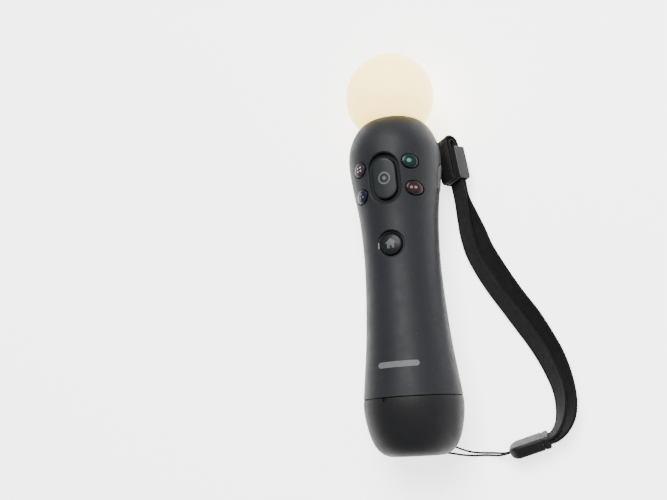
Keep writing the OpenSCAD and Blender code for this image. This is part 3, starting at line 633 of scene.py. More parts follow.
# the two halves of the handle
handle = {
    "knots": [(0, 12.5), (1, 15), (2.5, 17), (5, 18.9), (9, 20.7), (14, 22), (19, 22.8), (23, 23), (27, 22.7),
              (36, 21.7), (50, 20.2), (65, 19.15), (80, 18.5), (93.6, 18.4), (109.4, 19.2), (120, 20.4),
              (132, 22.2), (138, 22.85), (142, 23), (146, 22.75), (150, 21.9), (154, 20.4), (157, 18.7),
              (159, 17), (160.2, 15.6)],
    "wall": 2.0, "low": 25.5, "rim": 160.2, "steps": 176, "row": 1.5, "seam": 0.1, "seamEdge": 0.16,
    # height up the handle, and how far floors stand off its axis; the main recess slopes, in degrees
    "slope": 7.5,
    "mainHeight": 126.6, "mainFloor": 18.8, "recess": (14.9, 24.4), "recessEdge": 0.8, "buttonGap": 0.35,
    "mainButton": (11.2, 19.5),
    # across and up, the same on both sides
    "round": [(12.5, 133.5), (13, 120.8)], "roundRadius": 3.3,
    "homeHeight": 95, "homeFloor": 16.9, "homeRadius": 5.2, "homeRecess": 6.5, "homeUnder": (13.8, 14.9),
    # beside the home button: across, width, length
    "lightSlot": (-6.02, 0.65, 2.8),
    "sideHeight": 129, "sideButton": (3.9, 13.6),
    "screws": [(10, 31), (10.8, 108)],
    # posts for the screws: width, foot; pilot hole: width, foot, top; widths of shank and head
    "frontPost": (5.2, -2.8), "rearPost": (6.4, 3), "pilot": (2.1, -3, 7), "shank": 2.3, "head": 4.6,
    # opening for the trigger: width, length, middle
    "trigger": (14.2, 44, 125),
}
handle["scale"] = bodyRadius / max(r for h, r in handle["knots"])


def skinRadius(h):
    k = handle["knots"]
    h = max(k[0][0], min(k[-1][0], h))
    i = max(j for j in range(len(k) - 1) if k[j][0] <= h)
    last = len(k) - 1

    def lean(j):
        a, b = max(j - 1, 0), min(j + 1, last)
        return (k[b][1] - k[a][1]) / (k[b][0] - k[a][0])

    d = k[i + 1][0] - k[i][0]
    t = (h - k[i][0]) / d
    r = ((2 * t ** 3 - 3 * t ** 2 + 1) * k[i][1] + (t ** 3 - 2 * t ** 2 + t) * d * lean(i)
         + (3 * t ** 2 - 2 * t ** 3) * k[i + 1][1] + (t ** 3 - t ** 2) * d * lean(i + 1))
    return r * handle["scale"]


def skinHeight(u, v):
    # how far the skin stands off the body's axis plane, over the point u, v
    r = skinRadius(v)
    return math.sqrt(max(r * r - u * u, 1.0))


def run(low, high, step):
    count = max(2, round((high - low) / step))
    return [low + (high - low) * i / count for i in range(count + 1)]


def shellProfile(p):
    low, rim, wall = p["low"], p["rim"], p["wall"]
    foot = skinRadius(low)
    outer = [(foot - wall, low), (foot - 0.28, low), (foot - 0.09, low + 0.06), (foot, low + 0.26)]
    outer += [(skinRadius(h), h) for h in run(low + 0.9, 150, p["row"])]
    outer += [(skinRadius(h), h) for h in run(150.9, 159.6, 0.9)]
    edge = [(skinRadius(159.9) - 0.02, 159.92), (15.62, rim - 0.08), (15.42, rim), (14.95, rim),
            (14.79, rim - 0.12), (14.8, rim - 0.4), (15.2, 159)]
    inner = [(skinRadius(h) - wall, h) for h in reversed(run(low + 4, 157, 4.5))]
    return outer + edge + inner


def halfShell(name, form, side, p):
    # a copy of the turned form, cut along the seam
    pick(form)
    bpy.ops.object.duplicate()
    half = bpy.context.object
    half.name = name
    bpy.ops.object.mode_set(mode="EDIT")
    bpy.ops.mesh.select_all(action="SELECT")
    plane = axisZ + side * p["seam"] * mm
    bpy.ops.mesh.bisect(plane_co=(0, 0, plane), plane_no=(0, 0, side), use_fill=True, clear_inner=True)
    bpy.ops.mesh.select_all(action="DESELECT")
    bpy.ops.object.mode_set(mode="OBJECT")

    def outerSeam(v):
        return abs(v.co.z - plane) < 1e-6 and abs(v.co.x) / mm > skinRadius((v.co.y - baseY) / mm) - 0.5

    marked = {v.index for v in half.data.vertices if outerSeam(v)}
    for e in half.data.edges:
        e.select = e.vertices[0] in marked and e.vertices[1] in marked
    bpy.ops.object.mode_set(mode="EDIT")
    bpy.ops.mesh.select_mode(type="EDGE")
    bpy.ops.mesh.bevel(offset=p["seamEdge"] * mm, segments=2, affect="EDGES")
    bpy.ops.mesh.select_mode(type="VERT")
    bpy.ops.mesh.select_all(action="SELECT")
    bpy.ops.mesh.normals_make_consistent(inside=False)
    bpy.ops.object.mode_set(mode="OBJECT")
    return half


def rimRings(w, l, corner, edge, low, out, centre):
    # from a wall up to a rounded rim that meets the skin; low is the floor under it
    def soft(u, v):
        return min(edge, 0.8 * max(skinHeight(u, v) - low(u, v), 0.05))

    rings = []
    for turn in (0, 20, 40, 58, 74):
        c, s = math.cos(math.radians(turn)), math.sin(math.radians(turn))
        grow = edge * (1 - c)
        rings.append((w + 2 * grow, l + 2 * grow, corner + grow,
                      lambda u, v, s=s: skinHeight(u, v) - soft(u, v) * (1 - s), *centre))
    grow += out
    for above in (0.16 + 0.3 * out, 6):
        rings.append((w + 2 * grow, l + 2 * grow, corner + grow,
                      lambda u, v, a=above: skinHeight(u, v) + a, *centre))
    return rings


def noFloor(u, v):
    return 0


def slopeAt(floor, p):
    return lambda u, v: floor + (v - p["mainHeight"]) * math.tan(math.radians(p["slope"]))


def mainRecess(p):
    centre = (0, p["mainHeight"])
    floor = slopeAt(p["mainFloor"], p)
    bw, bl = (s + 2 * p["buttonGap"] for s in p["mainButton"])
    rw, rl = p["recess"]
    rings = [(bw, bl, bw / 2, 9, *centre), (bw, bl, bw / 2, lambda u, v: floor(u, v) - 0.3, *centre),
             (bw + 0.12, bl + 0.12, bw / 2, lambda u, v: floor(u, v) - 0.08, *centre),
             (bw + 0.45, bl + 0.45, bw / 2, floor, *centre),
             (rw - 1.1, rl - 1.1, rw / 2, floor, *centre),
             (rw - 0.5, rl - 0.5, rw / 2, lambda u, v: floor(u, v) + 0.04, *centre),
             (rw - 0.12, rl - 0.12, rw / 2, lambda u, v: floor(u, v) + 0.13, *centre)]
    rings += rimRings(rw, rl, rw / 2, p["recessEdge"], floor, 0.5, centre)
    return stack("mainRecessTool", rings, onFront, arc=16, sideV=8)


def roundHole(x, h, radius):
    d = 2 * radius
    rings = [(d, d, radius, 5, x, h)]
    rings += rimRings(d, d, radius, 0.3, noFloor, 0.3, (x, h))
    return stack("roundTool", rings, onFront, arc=12, sideV=1)


def homeRecess(p):
    centre = (0, p["homeHeight"])
    d, hole = 2 * p["homeRecess"], 2 * (p["homeRadius"] + p["buttonGap"])
    floor = p["homeFloor"]
    rings = [(hole, hole, 9, 12, *centre), (hole, hole, 9, floor - 0.25, *centre),
             (hole + 0.3, hole + 0.3, 9, floor, *centre),
             (d - 0.5, d - 0.5, 9, floor, *centre), (d - 0.1, d - 0.1, 9, floor + 0.1, *centre)]
    rings += rimRings(d, d, 9, 0.45, lambda u, v: floor, 0.35, centre)
    return stack("homeTool", rings, onFront, arc=14, sideV=1)


def boxTool(name, w, l, corner, low, high, place, centre, arc=3):
    # a straight block, or a cylinder where the corner is as wide as the block
    rings = [(w, l, corner, low, *centre), (w, l, corner, high, *centre)]
    return stack(name, rings, place, arc=arc, sideV=1)


def underSkin(u, v):
    # screw posts stop half way through the wall
    return skinHeight(u, v) - 1.0


def sideTool(side, p):
    w, l = (s + 2 * p["buttonGap"] for s in p["sideButton"])
    centre = (0, p["sideHeight"])
    rings = [(w, l, w / 2, 12, *centre)]
    rings += rimRings(w, l, w / 2, 0.3, noFloor, 0.3, centre)
    return stack("sideTool", rings, onSide(side), arc=10, sideV=8)


def frontHalf(form, p):
    shell = halfShell("frontShell", form, 1, p)
    floor = slopeAt(p["mainFloor"], p)
    rw, rl = p["recess"]
    centre = (0, p["mainHeight"])
    under = [(rw + 2, rl + 2.6, 9, lambda u, v: floor(u, v) - 1.3, *centre),
             (rw + 2, rl + 2.6, 9, lambda u, v: floor(u, v) + 0.02, *centre)]
    home = (0, p["homeHeight"])
    d, low = p["homeUnder"]
    extras = [stack("recessFloor", under, onFront, arc=12, sideV=4),
              boxTool("homeFloor", d, d, 9, low, p["homeFloor"] + 0.02, onFront, home, 12)]
    screws = [(s * x, h) for x, h in p["screws"] for s in (-1, 1)]
    d, low = p["frontPost"]
    extras += [boxTool("post", d, d, 9, low, underSkin, onFront, spot, 8) for spot in screws]
    for extra in extras:
        combine(shell, extra, "UNION")
    across, slotWidth, slotLength = p["lightSlot"]
    tools = [mainRecess(p), homeRecess(p), sideTool(1, p), sideTool(-1, p),
             boxTool("slotTool", slotWidth, slotLength, 0.1, 10, 18, onFront, (across, p["homeHeight"]))]
    radius = p["roundRadius"] + p["buttonGap"]
    tools += [roundHole(s * x, h, radius) for x, h in p["round"] for s in (-1, 1)]
    d, low, high = p["pilot"]
    tools += [boxTool("screwTool", d, d, 9, low, high, onFront, spot, 5) for spot in screws]
    for tool in tools:
        combine(shell, tool, "DIFFERENCE")
    return smoothed(shell)


def triggerSlot(p):
    w, l, middle = p["trigger"]
    centre = (0, middle)
    rings = [(w, l, 0.6, 8, *centre)] + rimRings(w, l, 0.6, 0.45, noFloor, 0.3, centre)
    return stack("triggerTool", rings, onRear, arc=5, sideU=6, sideV=24)


def screwWell(x, h, p):
    d, wide = p["shank"], p["head"]
    rings = [(d, d, 9, 2, x, h), (d, d, 9, 9, x, h), (wide, wide, 9, 9.01, x, h)]
    rings += rimRings(wide, wide, 9, 0.3, noFloor, 0.3, (x, h))
    return stack("wellTool", rings, onRear, arc=8, sideV=1)


def rearHalf(form, p):
    shell = halfShell("rearShell", form, -1, p)
    screws = [(s * x, h) for x, h in p["screws"] for s in (-1, 1)]
    d, low = p["rearPost"]
    for spot in screws:
        combine(shell, boxTool("post", d, d, 9, low, underSkin, onRear, spot, 8), "UNION")
    tools = [triggerSlot(p), sideTool(1, p), sideTool(-1, p)]
    tools += [screwWell(*spot, p) for spot in screws]
    for tool in tools:
        combine(shell, tool, "DIFFERENCE")
    return smoothed(shell)


plateMark = {"height": 39.5, "long": 19.0, "tall": 2.6, "colour": (0.1, 0.102, 0.105)}


def plateMarks(tree, xyz):
    y = baseY + plateMark["height"] * mm
    bar = slab(tree, xyz[0], xyz[1], 0.0, y, plateMark["long"] / 2 * mm, plateMark["tall"] / 2 * mm, 1.4 * mm)
    worn = remap(tree, noise(tree, coords(tree), 900, 3), 0.3, 0.5, 0.75, 0.95)
    return [calc(tree, "MULTIPLY", bar, worn)], [plateMark["colour"]]


def recessShadeOf(tree, xyz):
    # painted shade: an oval round the main button and, half as strong, a disc round the home button
    w, l = (s / 2 * mm for s in handle["recess"])
    mainY = baseY + handle["mainHeight"] * mm
    homeY = baseY + handle["homeHeight"] * mm
    oval = slab(tree, xyz[0], xyz[1], 0.0, mainY, w, l, w, 0.0003)
    ring = disc(tree, xyz[0], xyz[1], 0.0, homeY, (handle["homeRecess"] + 0.05) * mm, 0.0002)
    facing = remap(tree, xyz[2], axisZ, axisZ + 0.001, 0, 1)
    ring = calc(tree, "MULTIPLY", ring, 0.5)
    return calc(tree, "MULTIPLY", unionOf(tree, [oval, ring]), facing)


shellPlastic = {"colour": (0.0115, 0.0125, 0.0145), "rough": 0.46, "grain": 0.22, "depth": 0.03, "bite": 0.5,
                "dust": 0.08, "shine": 0.1}
form = lathe("handleForm", shellProfile(handle), handle["steps"])
front = frontHalf(form, handle)
frontPlastic = mouldedMaterial("shellCharcoal", {**shellPlastic, "mark": plateMarks, "recessShade": recessShadeOf})
settle(front, "frontShell", frontPlastic, "controller", "shell_plastic", "front_shell")
rear = rearHalf(form, handle)
rearPlastic = mouldedMaterial("shellCharcoalRear", {**shellPlastic, "cloud": 38})
settle(rear, "rearShell", rearPlastic, "controller", "shell_plastic", "rear_shell")
bpy.data.objects.remove(form)
print("shells", len(front.data.polygons), len(rear.data.polygons))


# base cap with its sockets
cap = {
    "height": 25.2, "lipTop": 27.4, "floor": 2.2, "steps": 176,
    # mouths in the flat end: width, length, distance in front of the axis
    "usb": (8.2, 4.2, 2.0), "expansion": (12.9, 4.8, -3.25),
    "reset": {"place": (-9.2, 6.2), "radius": 1.15},
    "contact": {"across": 10.2, "size": (2.6, 4.5)},
    # built on the skin or cut in it: degrees from the front towards the right, width, length, corner,
    # foot and top off the axis, middle up the handle
    "eyeBlock": (135, 10, 6.38, 0.3, 8.6, 20.6, 3.21),
    "eye": (135, 7, 5.6, 0.9, 10.2, 24.2, 1.8),
    "notch": (-17.5, 2.2, 1.8, 0.5, 21.8, 25.8, 24.4),
}


def onAngle(angle):
    # u along the skin, v up the handle, w out of its axis
    c, s = math.cos(math.radians(angle)), math.sin(math.radians(angle))
    return lambda u, v, w: ((u * c + w * s) * mm, baseY + v * mm, axisZ - (u * s - w * c) * mm)


def capProfile(p):
    top, wall = p["height"], handle["wall"]
    outer = [(0, 0), (6, 0), (12.1, 0), (12.6, 0.06)]
    outer += [(skinRadius(h), h) for h in (0.2, 0.4, 0.7, 1.0, 1.4, 1.9, 2.5, 3.2, 4.0)]
    outer += [(skinRadius(h), h) for h in run(5, top - 0.3, 1.4)]
    outer += [(skinRadius(top - 0.1) - 0.07, top - 0.06), (skinRadius(top) - 0.27, top)]
    lip = [(20.42, top), (20.4, top + 0.1), (20.4, p["lipTop"] - 0.4), (20.1, p["lipTop"]), (19, p["lipTop"]),
           (18.8, p["lipTop"] - 0.3), (18.8, 20), (skinRadius(20) - wall, 20)]
    inner = [(skinRadius(h) - wall, h) for h in reversed(run(4, 18.6, 1.6))]
    return outer + lip + inner + [(13, p["floor"]), (6, p["floor"]), (0, p["floor"])]


def flatHole(w, l, corner, centre, deep, edge=0.25, arc=4):
    # a socket mouth in the flat end, with a rounded lead-in
    rings = [(w, l, corner, -deep, *centre), (w, l, corner, -edge, *centre)]
    for turn in (25, 50, 72):
        grow = edge * (1 - math.cos(math.radians(turn)))
        depth = edge * (1 - math.sin(math.radians(turn)))
        rings.append((w + 2 * grow, l + 2 * grow, corner + grow, -depth, *centre))
    rings.append((w + 3 * edge, l + 3 * edge, corner + edge, 0.1, *centre))
    rings.append((w + 3 * edge, l + 3 * edge, corner + edge, 2, *centre))
    return stack("mouthTool", rings, onBase, arc=arc, sideV=1)


def skinTool(spot, arc):
    angle, w, l, corner, low, high, height = spot
    return boxTool("skinTool", w, l, corner, low, high, onAngle(angle), (0, height), arc)


def makeCap(p):
    obj = lathe("baseCap", capProfile(p), p["steps"], closed=False)
    within = [(0, 0)] + [(skinRadius(h) - 0.4, h) for h in run(0, 8, 0.8)] + [(0, 8)]
    inside = lathe("insideForm", within, 96, closed=False)
    block = skinTool(p["eyeBlock"], 3)
    combine(block, inside, "INTERSECT")
    combine(obj, block, "UNION")
    tools = [skinTool(p["eye"], 5), skinTool(p["notch"], 4)]
    for w, l, ahead in (p["usb"], p["expansion"]):
        tools.append(flatHole(w, l, 0.7, (0, -ahead), 5))
    d = 2 * p["reset"]["radius"]
    tools.append(flatHole(d, d, 9, p["reset"]["place"], 4, 0.15, 8))
    w, l = p["contact"]["size"]
    tools += [flatHole(w, l, 0.4, (s * p["contact"]["across"], 0), 0.5, 0.12) for s in (-1, 1)]
    for tool in tools:
        combine(obj, tool, "DIFFERENCE")
    smoothed(obj)
    plastic = {**shellPlastic, "colour": (0.0085, 0.0087, 0.0095), "cloud": 60, "dust": 0.03}
    mat = mouldedMaterial("capCharcoal", plastic)
    return settle(obj, "baseCap", mat, "controller", "cap_plastic", "base_cap")


makeCap(cap)
print("base cap done")


# light ball
# glow: strength of the ball's painted glow
ball = {"centre": 177.5, "radius": 22.5, "wall": 1.2, "steps": 160, "neck": 11.4, "bore": 10.2, "flange": 13,
        "low": 152, "turnedIn": 158.2, "glow": 2.1}


def ballMaterial(p):
    mat, tree, skin = newMaterial("milkyBall")
    where = coords(tree)
    cloud = noise(tree, where, 70, 4, 0.6)
    base = mixColour(tree, remap(tree, cloud, 0.3, 0.7, 0, 1), (0.98, 0.84, 0.44), (0.96, 0.8, 0.4))
    lint = specks(tree, where, 330, 0.1)
    base = mixColour(tree, calc(tree, "MULTIPLY", lint, 0.35), base, (0.5, 0.45, 0.38))
    link(tree, base, skin.inputs["Base Color"])
    link(tree, remap(tree, noise(tree, where, 240, 4), 0.3, 0.7, 0.5, 0.62), skin.inputs["Roughness"])
    skin.inputs["Subsurface Weight"].default_value = 0.35
    skin.inputs["Subsurface Radius"].default_value = (1.0, 0.85, 0.6)
    skin.inputs["Subsurface Scale"].default_value = 0.006
    skin.inputs["Specular IOR Level"].default_value = 0.35
    # painted light: the ball glows warm of its own, though its lamp inside is not lit, to stand in for the
    # light it catches
    skin.inputs["Emission Color"].default_value = (1.0, 0.76, 0.22, 1)
    skin.inputs["Emission Strength"].default_value = p["glow"]
    fine = bump(tree, noise(tree, where, 4200, 2), 0.00002, 0.35)
    link(tree, bump(tree, cloud, 0.0001, 0.1, fine), skin.inputs["Normal"])
    return mat


def makeBall(p):
    c, r, low = p["centre"], p["radius"], p["turnedIn"]
    inner = r - p["wall"]
    end = math.degrees(math.acos((low - c) / r))
    outer = [(r * math.sin(math.radians(a)), c + r * math.cos(math.radians(a))) for a in run(0, end, 3)]
    outer[0] = (0, c + r)
    inEnd = 180 - math.degrees(math.asin(p["bore"] / inner))
    hollow = [(inner * math.sin(math.radians(a)), c + inner * math.cos(math.radians(a)))
              for a in reversed(run(0, inEnd, 6))]
    hollow[-1] = (0, c + inner)
    neck = [(p["neck"], low - 0.4), (p["neck"], p["low"] + 1.3), (p["flange"] - 0.2, p["low"] + 1.2),
            (p["flange"], p["low"] + 1), (p["flange"], p["low"]), (p["bore"], p["low"])]
    obj = lathe("lightBall", outer + neck + hollow, p["steps"], closed=False)
    smoothed(obj, 40)
    return settle(obj, "lightBall", ballMaterial(p), "controller", "ball_plastic", "light_sphere")


makeBall(ball)
print("ball done")


# buttons
def insetTop(w, l, corner, edge, top, cuts, centre, softTurns=(0, 30, 60, 90)):
    # the last rings of a button: rounded shoulder, then in to a line or a point
    rings = []
    for turn in softTurns:
        inset = edge * (1 - math.cos(math.radians(turn)))
        drop = edge * (1 - math.sin(math.radians(turn)))
        rings.append((w - 2 * inset, l - 2 * inset, corner - inset, lambda u, v, d=drop: top(u, v) - d,
                      *centre))
    w0, l0 = w - 2 * edge, l - 2 * edge
    short = min(w0, l0)
    for k in range(1, cuts + 1):
        shrink = short * k / cuts
        tight = 0 if k == cuts else max(corner - edge - shrink / 2, 0.05)
        rings.append((max(w0 - shrink, 0), max(l0 - shrink, 0), tight, top, *centre))
    return rings


def flangedStem(size, corner, wide, low, flange, thick, centre, stem=None):
    # from the foot of a button's stem up over the flange that keeps it in, to the foot of the key
    w, l = size
    d = stem or w
    return [(d, d, 9, low, *centre), (d, d, 9, flange, *centre),
            (w + wide, l + wide, 9, flange + 0.01, *centre), (w + wide, l + wide, 9, flange + thick, *centre),
            (w, l, corner, flange + thick + 0.01, *centre)]


# heights over the body's axis plane; stem: width and foot
mainKey = {"size": handle["mainButton"], "height": handle["mainHeight"], "top": 20.75, "crown": 24,
           "edge": 0.55, "flange": 14.8, "stem": (6, 11.3), "colour": (0.0125, 0.0142, 0.015),
           "mark": (0.085, 0.092, 0.094)}


def mainMarks(tree, xyz):
    y = baseY + mainKey["height"] * mm
    outer = disc(tree, xyz[0], xyz[1], 0.0, y, 0.0029)
    inner = disc(tree, xyz[0], xyz[1], 0.0, y, 0.0023)
    ring = calc(tree, "SUBTRACT", outer, inner, True)
    dot = disc(tree, xyz[0], xyz[1], 0.0, y, 0.00085)
    return [unionOf(tree, [ring, dot])], [mainKey["mark"]]


def makeMainKey(p):
    w, l = p["size"]
    centre = (0, p["height"])
    lean = math.radians(handle["slope"])

    def top(u, v):
        drop = p["crown"] - math.sqrt(p["crown"] ** 2 - u * u)
        return p["top"] + (v - p["height"]) * math.tan(lean) - drop / math.cos(lean)

    low = p["flange"]
    thick, foot = p["stem"]
    rings = [(thick, thick, 9, foot, *centre), (thick, thick, 9, low, *centre),
             (w + 2.2, l + 2.2, 9, low + 0.01, *centre), (w + 2.2, l + 2.2, 9, low + 0.9, *centre),
             (w + 0.1, l + 0.1, 9, low + 0.91, *centre), (w, l, w / 2, low + 1.1, *centre)]
    rings += insetTop(w, l, w / 2, p["edge"], top, 7, centre, (0, 25, 50, 70, 90))
    obj = smoothed(stack("mainButton", rings, onFront, arc=14, sideV=12, lastFace=False), 40)
    mat = mouldedMaterial("mainSatin", {"colour": p["colour"], "rough": 0.34, "grain": 0.3, "depth": 0.012,
                                        "bite": 0.35, "dust": 0.1, "shine": 0.1, "mark": mainMarks})
    return settle(obj, "mainButton", mat, "main_button", "main_gloss", "main_button")


makeMainKey(mainKey)

roundKeys = {
    "radius": handle["roundRadius"], "crown": 10, "proud": 1.1, "edge": 0.4, "switch": 10.2, "stemLow": 11.1,
    "stem": 3, "lug": {133.5: 14.9, 120.8: 12.0},
    "keys": [
        # letter, side, height, dots, plastic, paint
        ("a", 1, 133.5, 1, (0.0045, 0.0065, 0.0065), (0.045, 0.17, 0.155)),
        ("b", 1, 120.8, 2, (0.0075, 0.005, 0.006), (0.2, 0.1, 0.12)),
        ("c", -1, 120.8, 3, (0.0055, 0.006, 0.0105), (0.07, 0.085, 0.17)),
        ("d", -1, 133.5, 4, (0.009, 0.007, 0.009), (0.32, 0.27, 0.31)),
    ],
}


def dotMarks(count, cx, cy, paint):
    spots = {1: [(0, 0)], 2: [(-0.9, 0), (0.9, 0)], 3: [(0, 0.95), (-0.85, -0.6), (0.85, -0.6)],
             4: [(-0.8, 0.8), (0.8, 0.8), (-0.8, -0.8), (0.8, -0.8)]}[count]
    size = {1: 0.95, 2: 0.62, 3: 0.5, 4: 0.46}[count]

    def marks(tree, xyz):
        masks = [disc(tree, xyz[0], xyz[1], cx + a * mm, cy + b * mm, size * mm) for a, b in spots]
        tint = disc(tree, xyz[0], xyz[1], cx, cy, 3.0 * mm, 0.0012)
        return [calc(tree, "MULTIPLY", tint, 0.05), unionOf(tree, masks)], [paint, paint]

    return marks


def makeRoundKey(p, letter, side, h, dots, colour, paint):
    name = "roundButton" + letter.upper()
    node = "action_button_" + letter
    slotName = "action_gloss_" + letter
    low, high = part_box(node)
    r = p["radius"]
    x = side * (max(abs(low.x), abs(high.x)) / mm - r)
    centre = (x, h)
    skin = skinRadius(h)
    a, lean = math.asin(x / skin), math.radians(handle["slope"])
    n = (math.sin(a) * math.cos(lean), -math.sin(lean), math.cos(a) * math.cos(lean))
    back = p["proud"] - p["crown"]
    mid = (x + n[0] * back, h + n[1] * back, skin * math.cos(a) + n[2] * back)

    def top(u, v):
        return mid[2] + math.sqrt(max(p["crown"] ** 2 - (u - mid[0]) ** 2 - (v - mid[1]) ** 2, 0.01))

    # the lug reaches from over the switch to under the key
    lug = p["lug"][h]
    stem = (side * p["switch"], h)
    lugCentre = (side * (p["switch"] + 0.9), h)
    d = p["stem"]
    rings = [(d, d, 9, p["stemLow"], *stem), (d, d, 9, lug - 0.9, *stem),
             (7.6, 8.4, 3.8, lug - 0.89, *lugCentre), (7.6, 8.4, 3.8, lug, *lugCentre),
             (2 * r, 2 * r, r, lug + 0.01, *centre)]
    rings += insetTop(2 * r, 2 * r, r, p["edge"], top, 5, centre)
    obj = smoothed(stack(name, rings, onFront, arc=14, sideV=1, lastFace=False), 40)
    mat = mouldedMaterial(slotName + "Smoke", {"colour": colour, "rough": 0.2, "grain": 0.35, "depth": 0.006,
                                               "bite": 0.3, "dust": 0.1, "shine": 0.1,
                                               "mark": dotMarks(dots, x * mm, baseY + h * mm, paint)})
    return settle(obj, name, mat, "action_" + letter, slotName, node)


for key in roundKeys["keys"]:
    makeRoundKey(roundKeys, *key)
print("round buttons done")

# rim: colour of the painted shade round the key's rounded edge
homeKey = {"radius": handle["homeRadius"], "height": handle["homeHeight"], "top": 18.3, "crown": 20,
           "edge": 0.5, "low": 11.1, "flange": 13.5, "colour": (0.007, 0.008, 0.0085),
           "mark": (0.06, 0.068, 0.072), "rim": (0.006, 0.006, 0.007)}


def homeMarks(tree, xyz):
    # a plain house: walls, roof and a door left open, and a darker rim round the key, painted shade at its
    # rounded edge
    x, y0 = xyz[0], baseY + homeKey["height"] * mm
    walls = slab(tree, x, xyz[1], 0.0, y0 - 0.75 * mm, 1.75 * mm, 1.3 * mm, 0.15 * mm)
    aside = calc(tree, "ABSOLUTE", x)
    high = calc(tree, "SUBTRACT", xyz[1], y0 + 2.75 * mm)
    slope = calc(tree, "ADD", high, calc(tree, "MULTIPLY", aside, 0.85))
    under = remap(tree, slope, -0.00005, 0.00005, 1, 0, True)
    over = remap(tree, xyz[1], y0 + 0.35 * mm, y0 + 0.45 * mm, 0, 1, True)
    roof = calc(tree, "MULTIPLY", under, over)
    door = slab(tree, x, xyz[1], 0.0, y0 - 1.5 * mm, 0.5 * mm, 0.8 * mm, 0.1 * mm)
    house = calc(tree, "SUBTRACT", unionOf(tree, [walls, roof]), door, True)
    # painted shade: the key is drawn darker outside 4.75 mm, where its edge rounds over
    rim = calc(tree, "SUBTRACT", 1.0, disc(tree, x, xyz[1], 0.0, y0, 4.75 * mm))
    return [calc(tree, "MULTIPLY", rim, 0.7), house], [homeKey["rim"], homeKey["mark"]]


def makeHomeKey(p):
    d = 2 * p["radius"]
    centre = (0, p["height"])

    def top(u, v):
        return p["top"] - p["crown"] + math.sqrt(p["crown"] ** 2 - u * u - (v - p["height"]) ** 2)

    rings = flangedStem((d, d), 9, 1.6, p["low"], p["flange"], 0.8, centre)
    rings += insetTop(d, d, p["radius"], p["edge"], top, 6, centre)
    obj = smoothed(stack("homeButton", rings, onFront, arc=16, sideV=1, lastFace=False), 40)
    mat = mouldedMaterial("homeSatin", {"colour": p["colour"], "rough": 0.3, "grain": 0.3, "depth": 0.008,
                                        "bite": 0.3, "dust": 0.1, "shine": 0.08, "mark": homeMarks})
    return settle(obj, "homeButton", mat, "home_button", "home_gloss", "home_button")


makeHomeKey(homeKey)

# painted reflection: the side keys are a lighter grey than the shell, for the light they catch
# lean: how far the skin under the key widens towards the ball, in degrees
sideKey = {"size": handle["sideButton"], "height": handle["sideHeight"], "low": 15.8, "flange": 17.1,
           "stem": 3.2, "crown": 22.1, "lean": 8, "edge": 0.35, "colour": (0.02, 0.0205, 0.022)}


def makeSideKey(p, name, side, body, node):
    w, l = p["size"]
    centre = (0, p["height"])
    lean = math.radians(p["lean"])

    def top(u, v):
        return ((v - p["height"]) * math.sin(lean) + math.sqrt(p["crown"] ** 2 - u * u)) / math.cos(lean)

    rings = flangedStem(p["size"], w / 2, 1.4, p["low"], p["flange"], 0.8, centre, p["stem"])
    rings += insetTop(w, l, w / 2, p["edge"], top, 4, centre)
    obj = smoothed(stack(name, rings, onSide(side), arc=10, sideV=10, lastFace=False), 40)
    mat = mouldedMaterial(name + "Satin", {"colour": p["colour"], "rough": 0.4, "grain": 0.26, "depth": 0.016,
                                           "bite": 0.4, "shine": 0.35, "dust": 0.1})
    return settle(obj, name, mat, body, "button_black", node)


makeSideKey(sideKey, "startButton", 1, "start_button", "start_button")
makeSideKey(sideKey, "selectButton", -1, "select_button", "select_button")
print("side buttons done")

triggerKey = {
    "size": (13.2, 42), "middle": handle["trigger"][2], "reach": 22.65, "low": 15.2, "edge": 1.3,
    # its outer face: height up the handle, distance from the axis
    "face": [(104.6, 22.5), (107, 22.45), (110, 21.7), (114, 20.95), (119, 20.6), (125, 20.95), (131, 21.6),
             (137, 22.2), (142, 22.5), (145.6, 22.35)],
    "colour": (0.009, 0.0092, 0.01),
}


def faceAt(h):
    k = triggerKey["face"]
    h = max(k[0][0], min(k[-1][0], h))
    i = max(j for j in range(len(k) - 1) if k[j][0] <= h)
    t = (h - k[i][0]) / (k[i + 1][0] - k[i][0])
    return catmull(k[max(i - 1, 0)][1], k[i][1], k[i + 1][1], k[min(i + 2, len(k) - 1)][1], t)


def makeTrigger(p):
    w, l = p["size"]
    centre = (0, p["middle"])

    def top(u, v):
        return min(faceAt(v), math.sqrt(p["reach"] ** 2 - u * u)) - 0.02

    rings = [(w, l, 1.0, p["low"], *centre)]
    rings += insetTop(w, l, 1.3, p["edge"], top, 6, centre, (0, 22, 45, 68, 90))
    obj = smoothed(stack("triggerLever", rings, onRear, arc=6, sideU=8, sideV=34, lastFace=False), 40)
    look = {"colour": p["colour"], "rough": 0.36, "grain": 0.28, "depth": 0.014, "bite": 0.4, "wear": 0.3,
            "dust": 0.1, "shine": 0.4}
    mat = mouldedMaterial("triggerSatin", look)
    return settle(obj, "triggerLever", mat, "trigger", "button_black", "trigger")


makeTrigger(triggerKey)
print("trigger done")


# strap slider and joint
slider = {"wide": 12.6, "long": 17.5, "thick": 6.4, "corner": 0.9, "edge": 0.6, "mouth": (10.0, 3.8),
          "colour": (0.009, 0.009, 0.0102)}


def placeOn(origin, a, b, c):
    # u along a, v along b, w along c, all in mm
    return lambda u, v, w: (origin + a * u + b * v + c * w) * mm


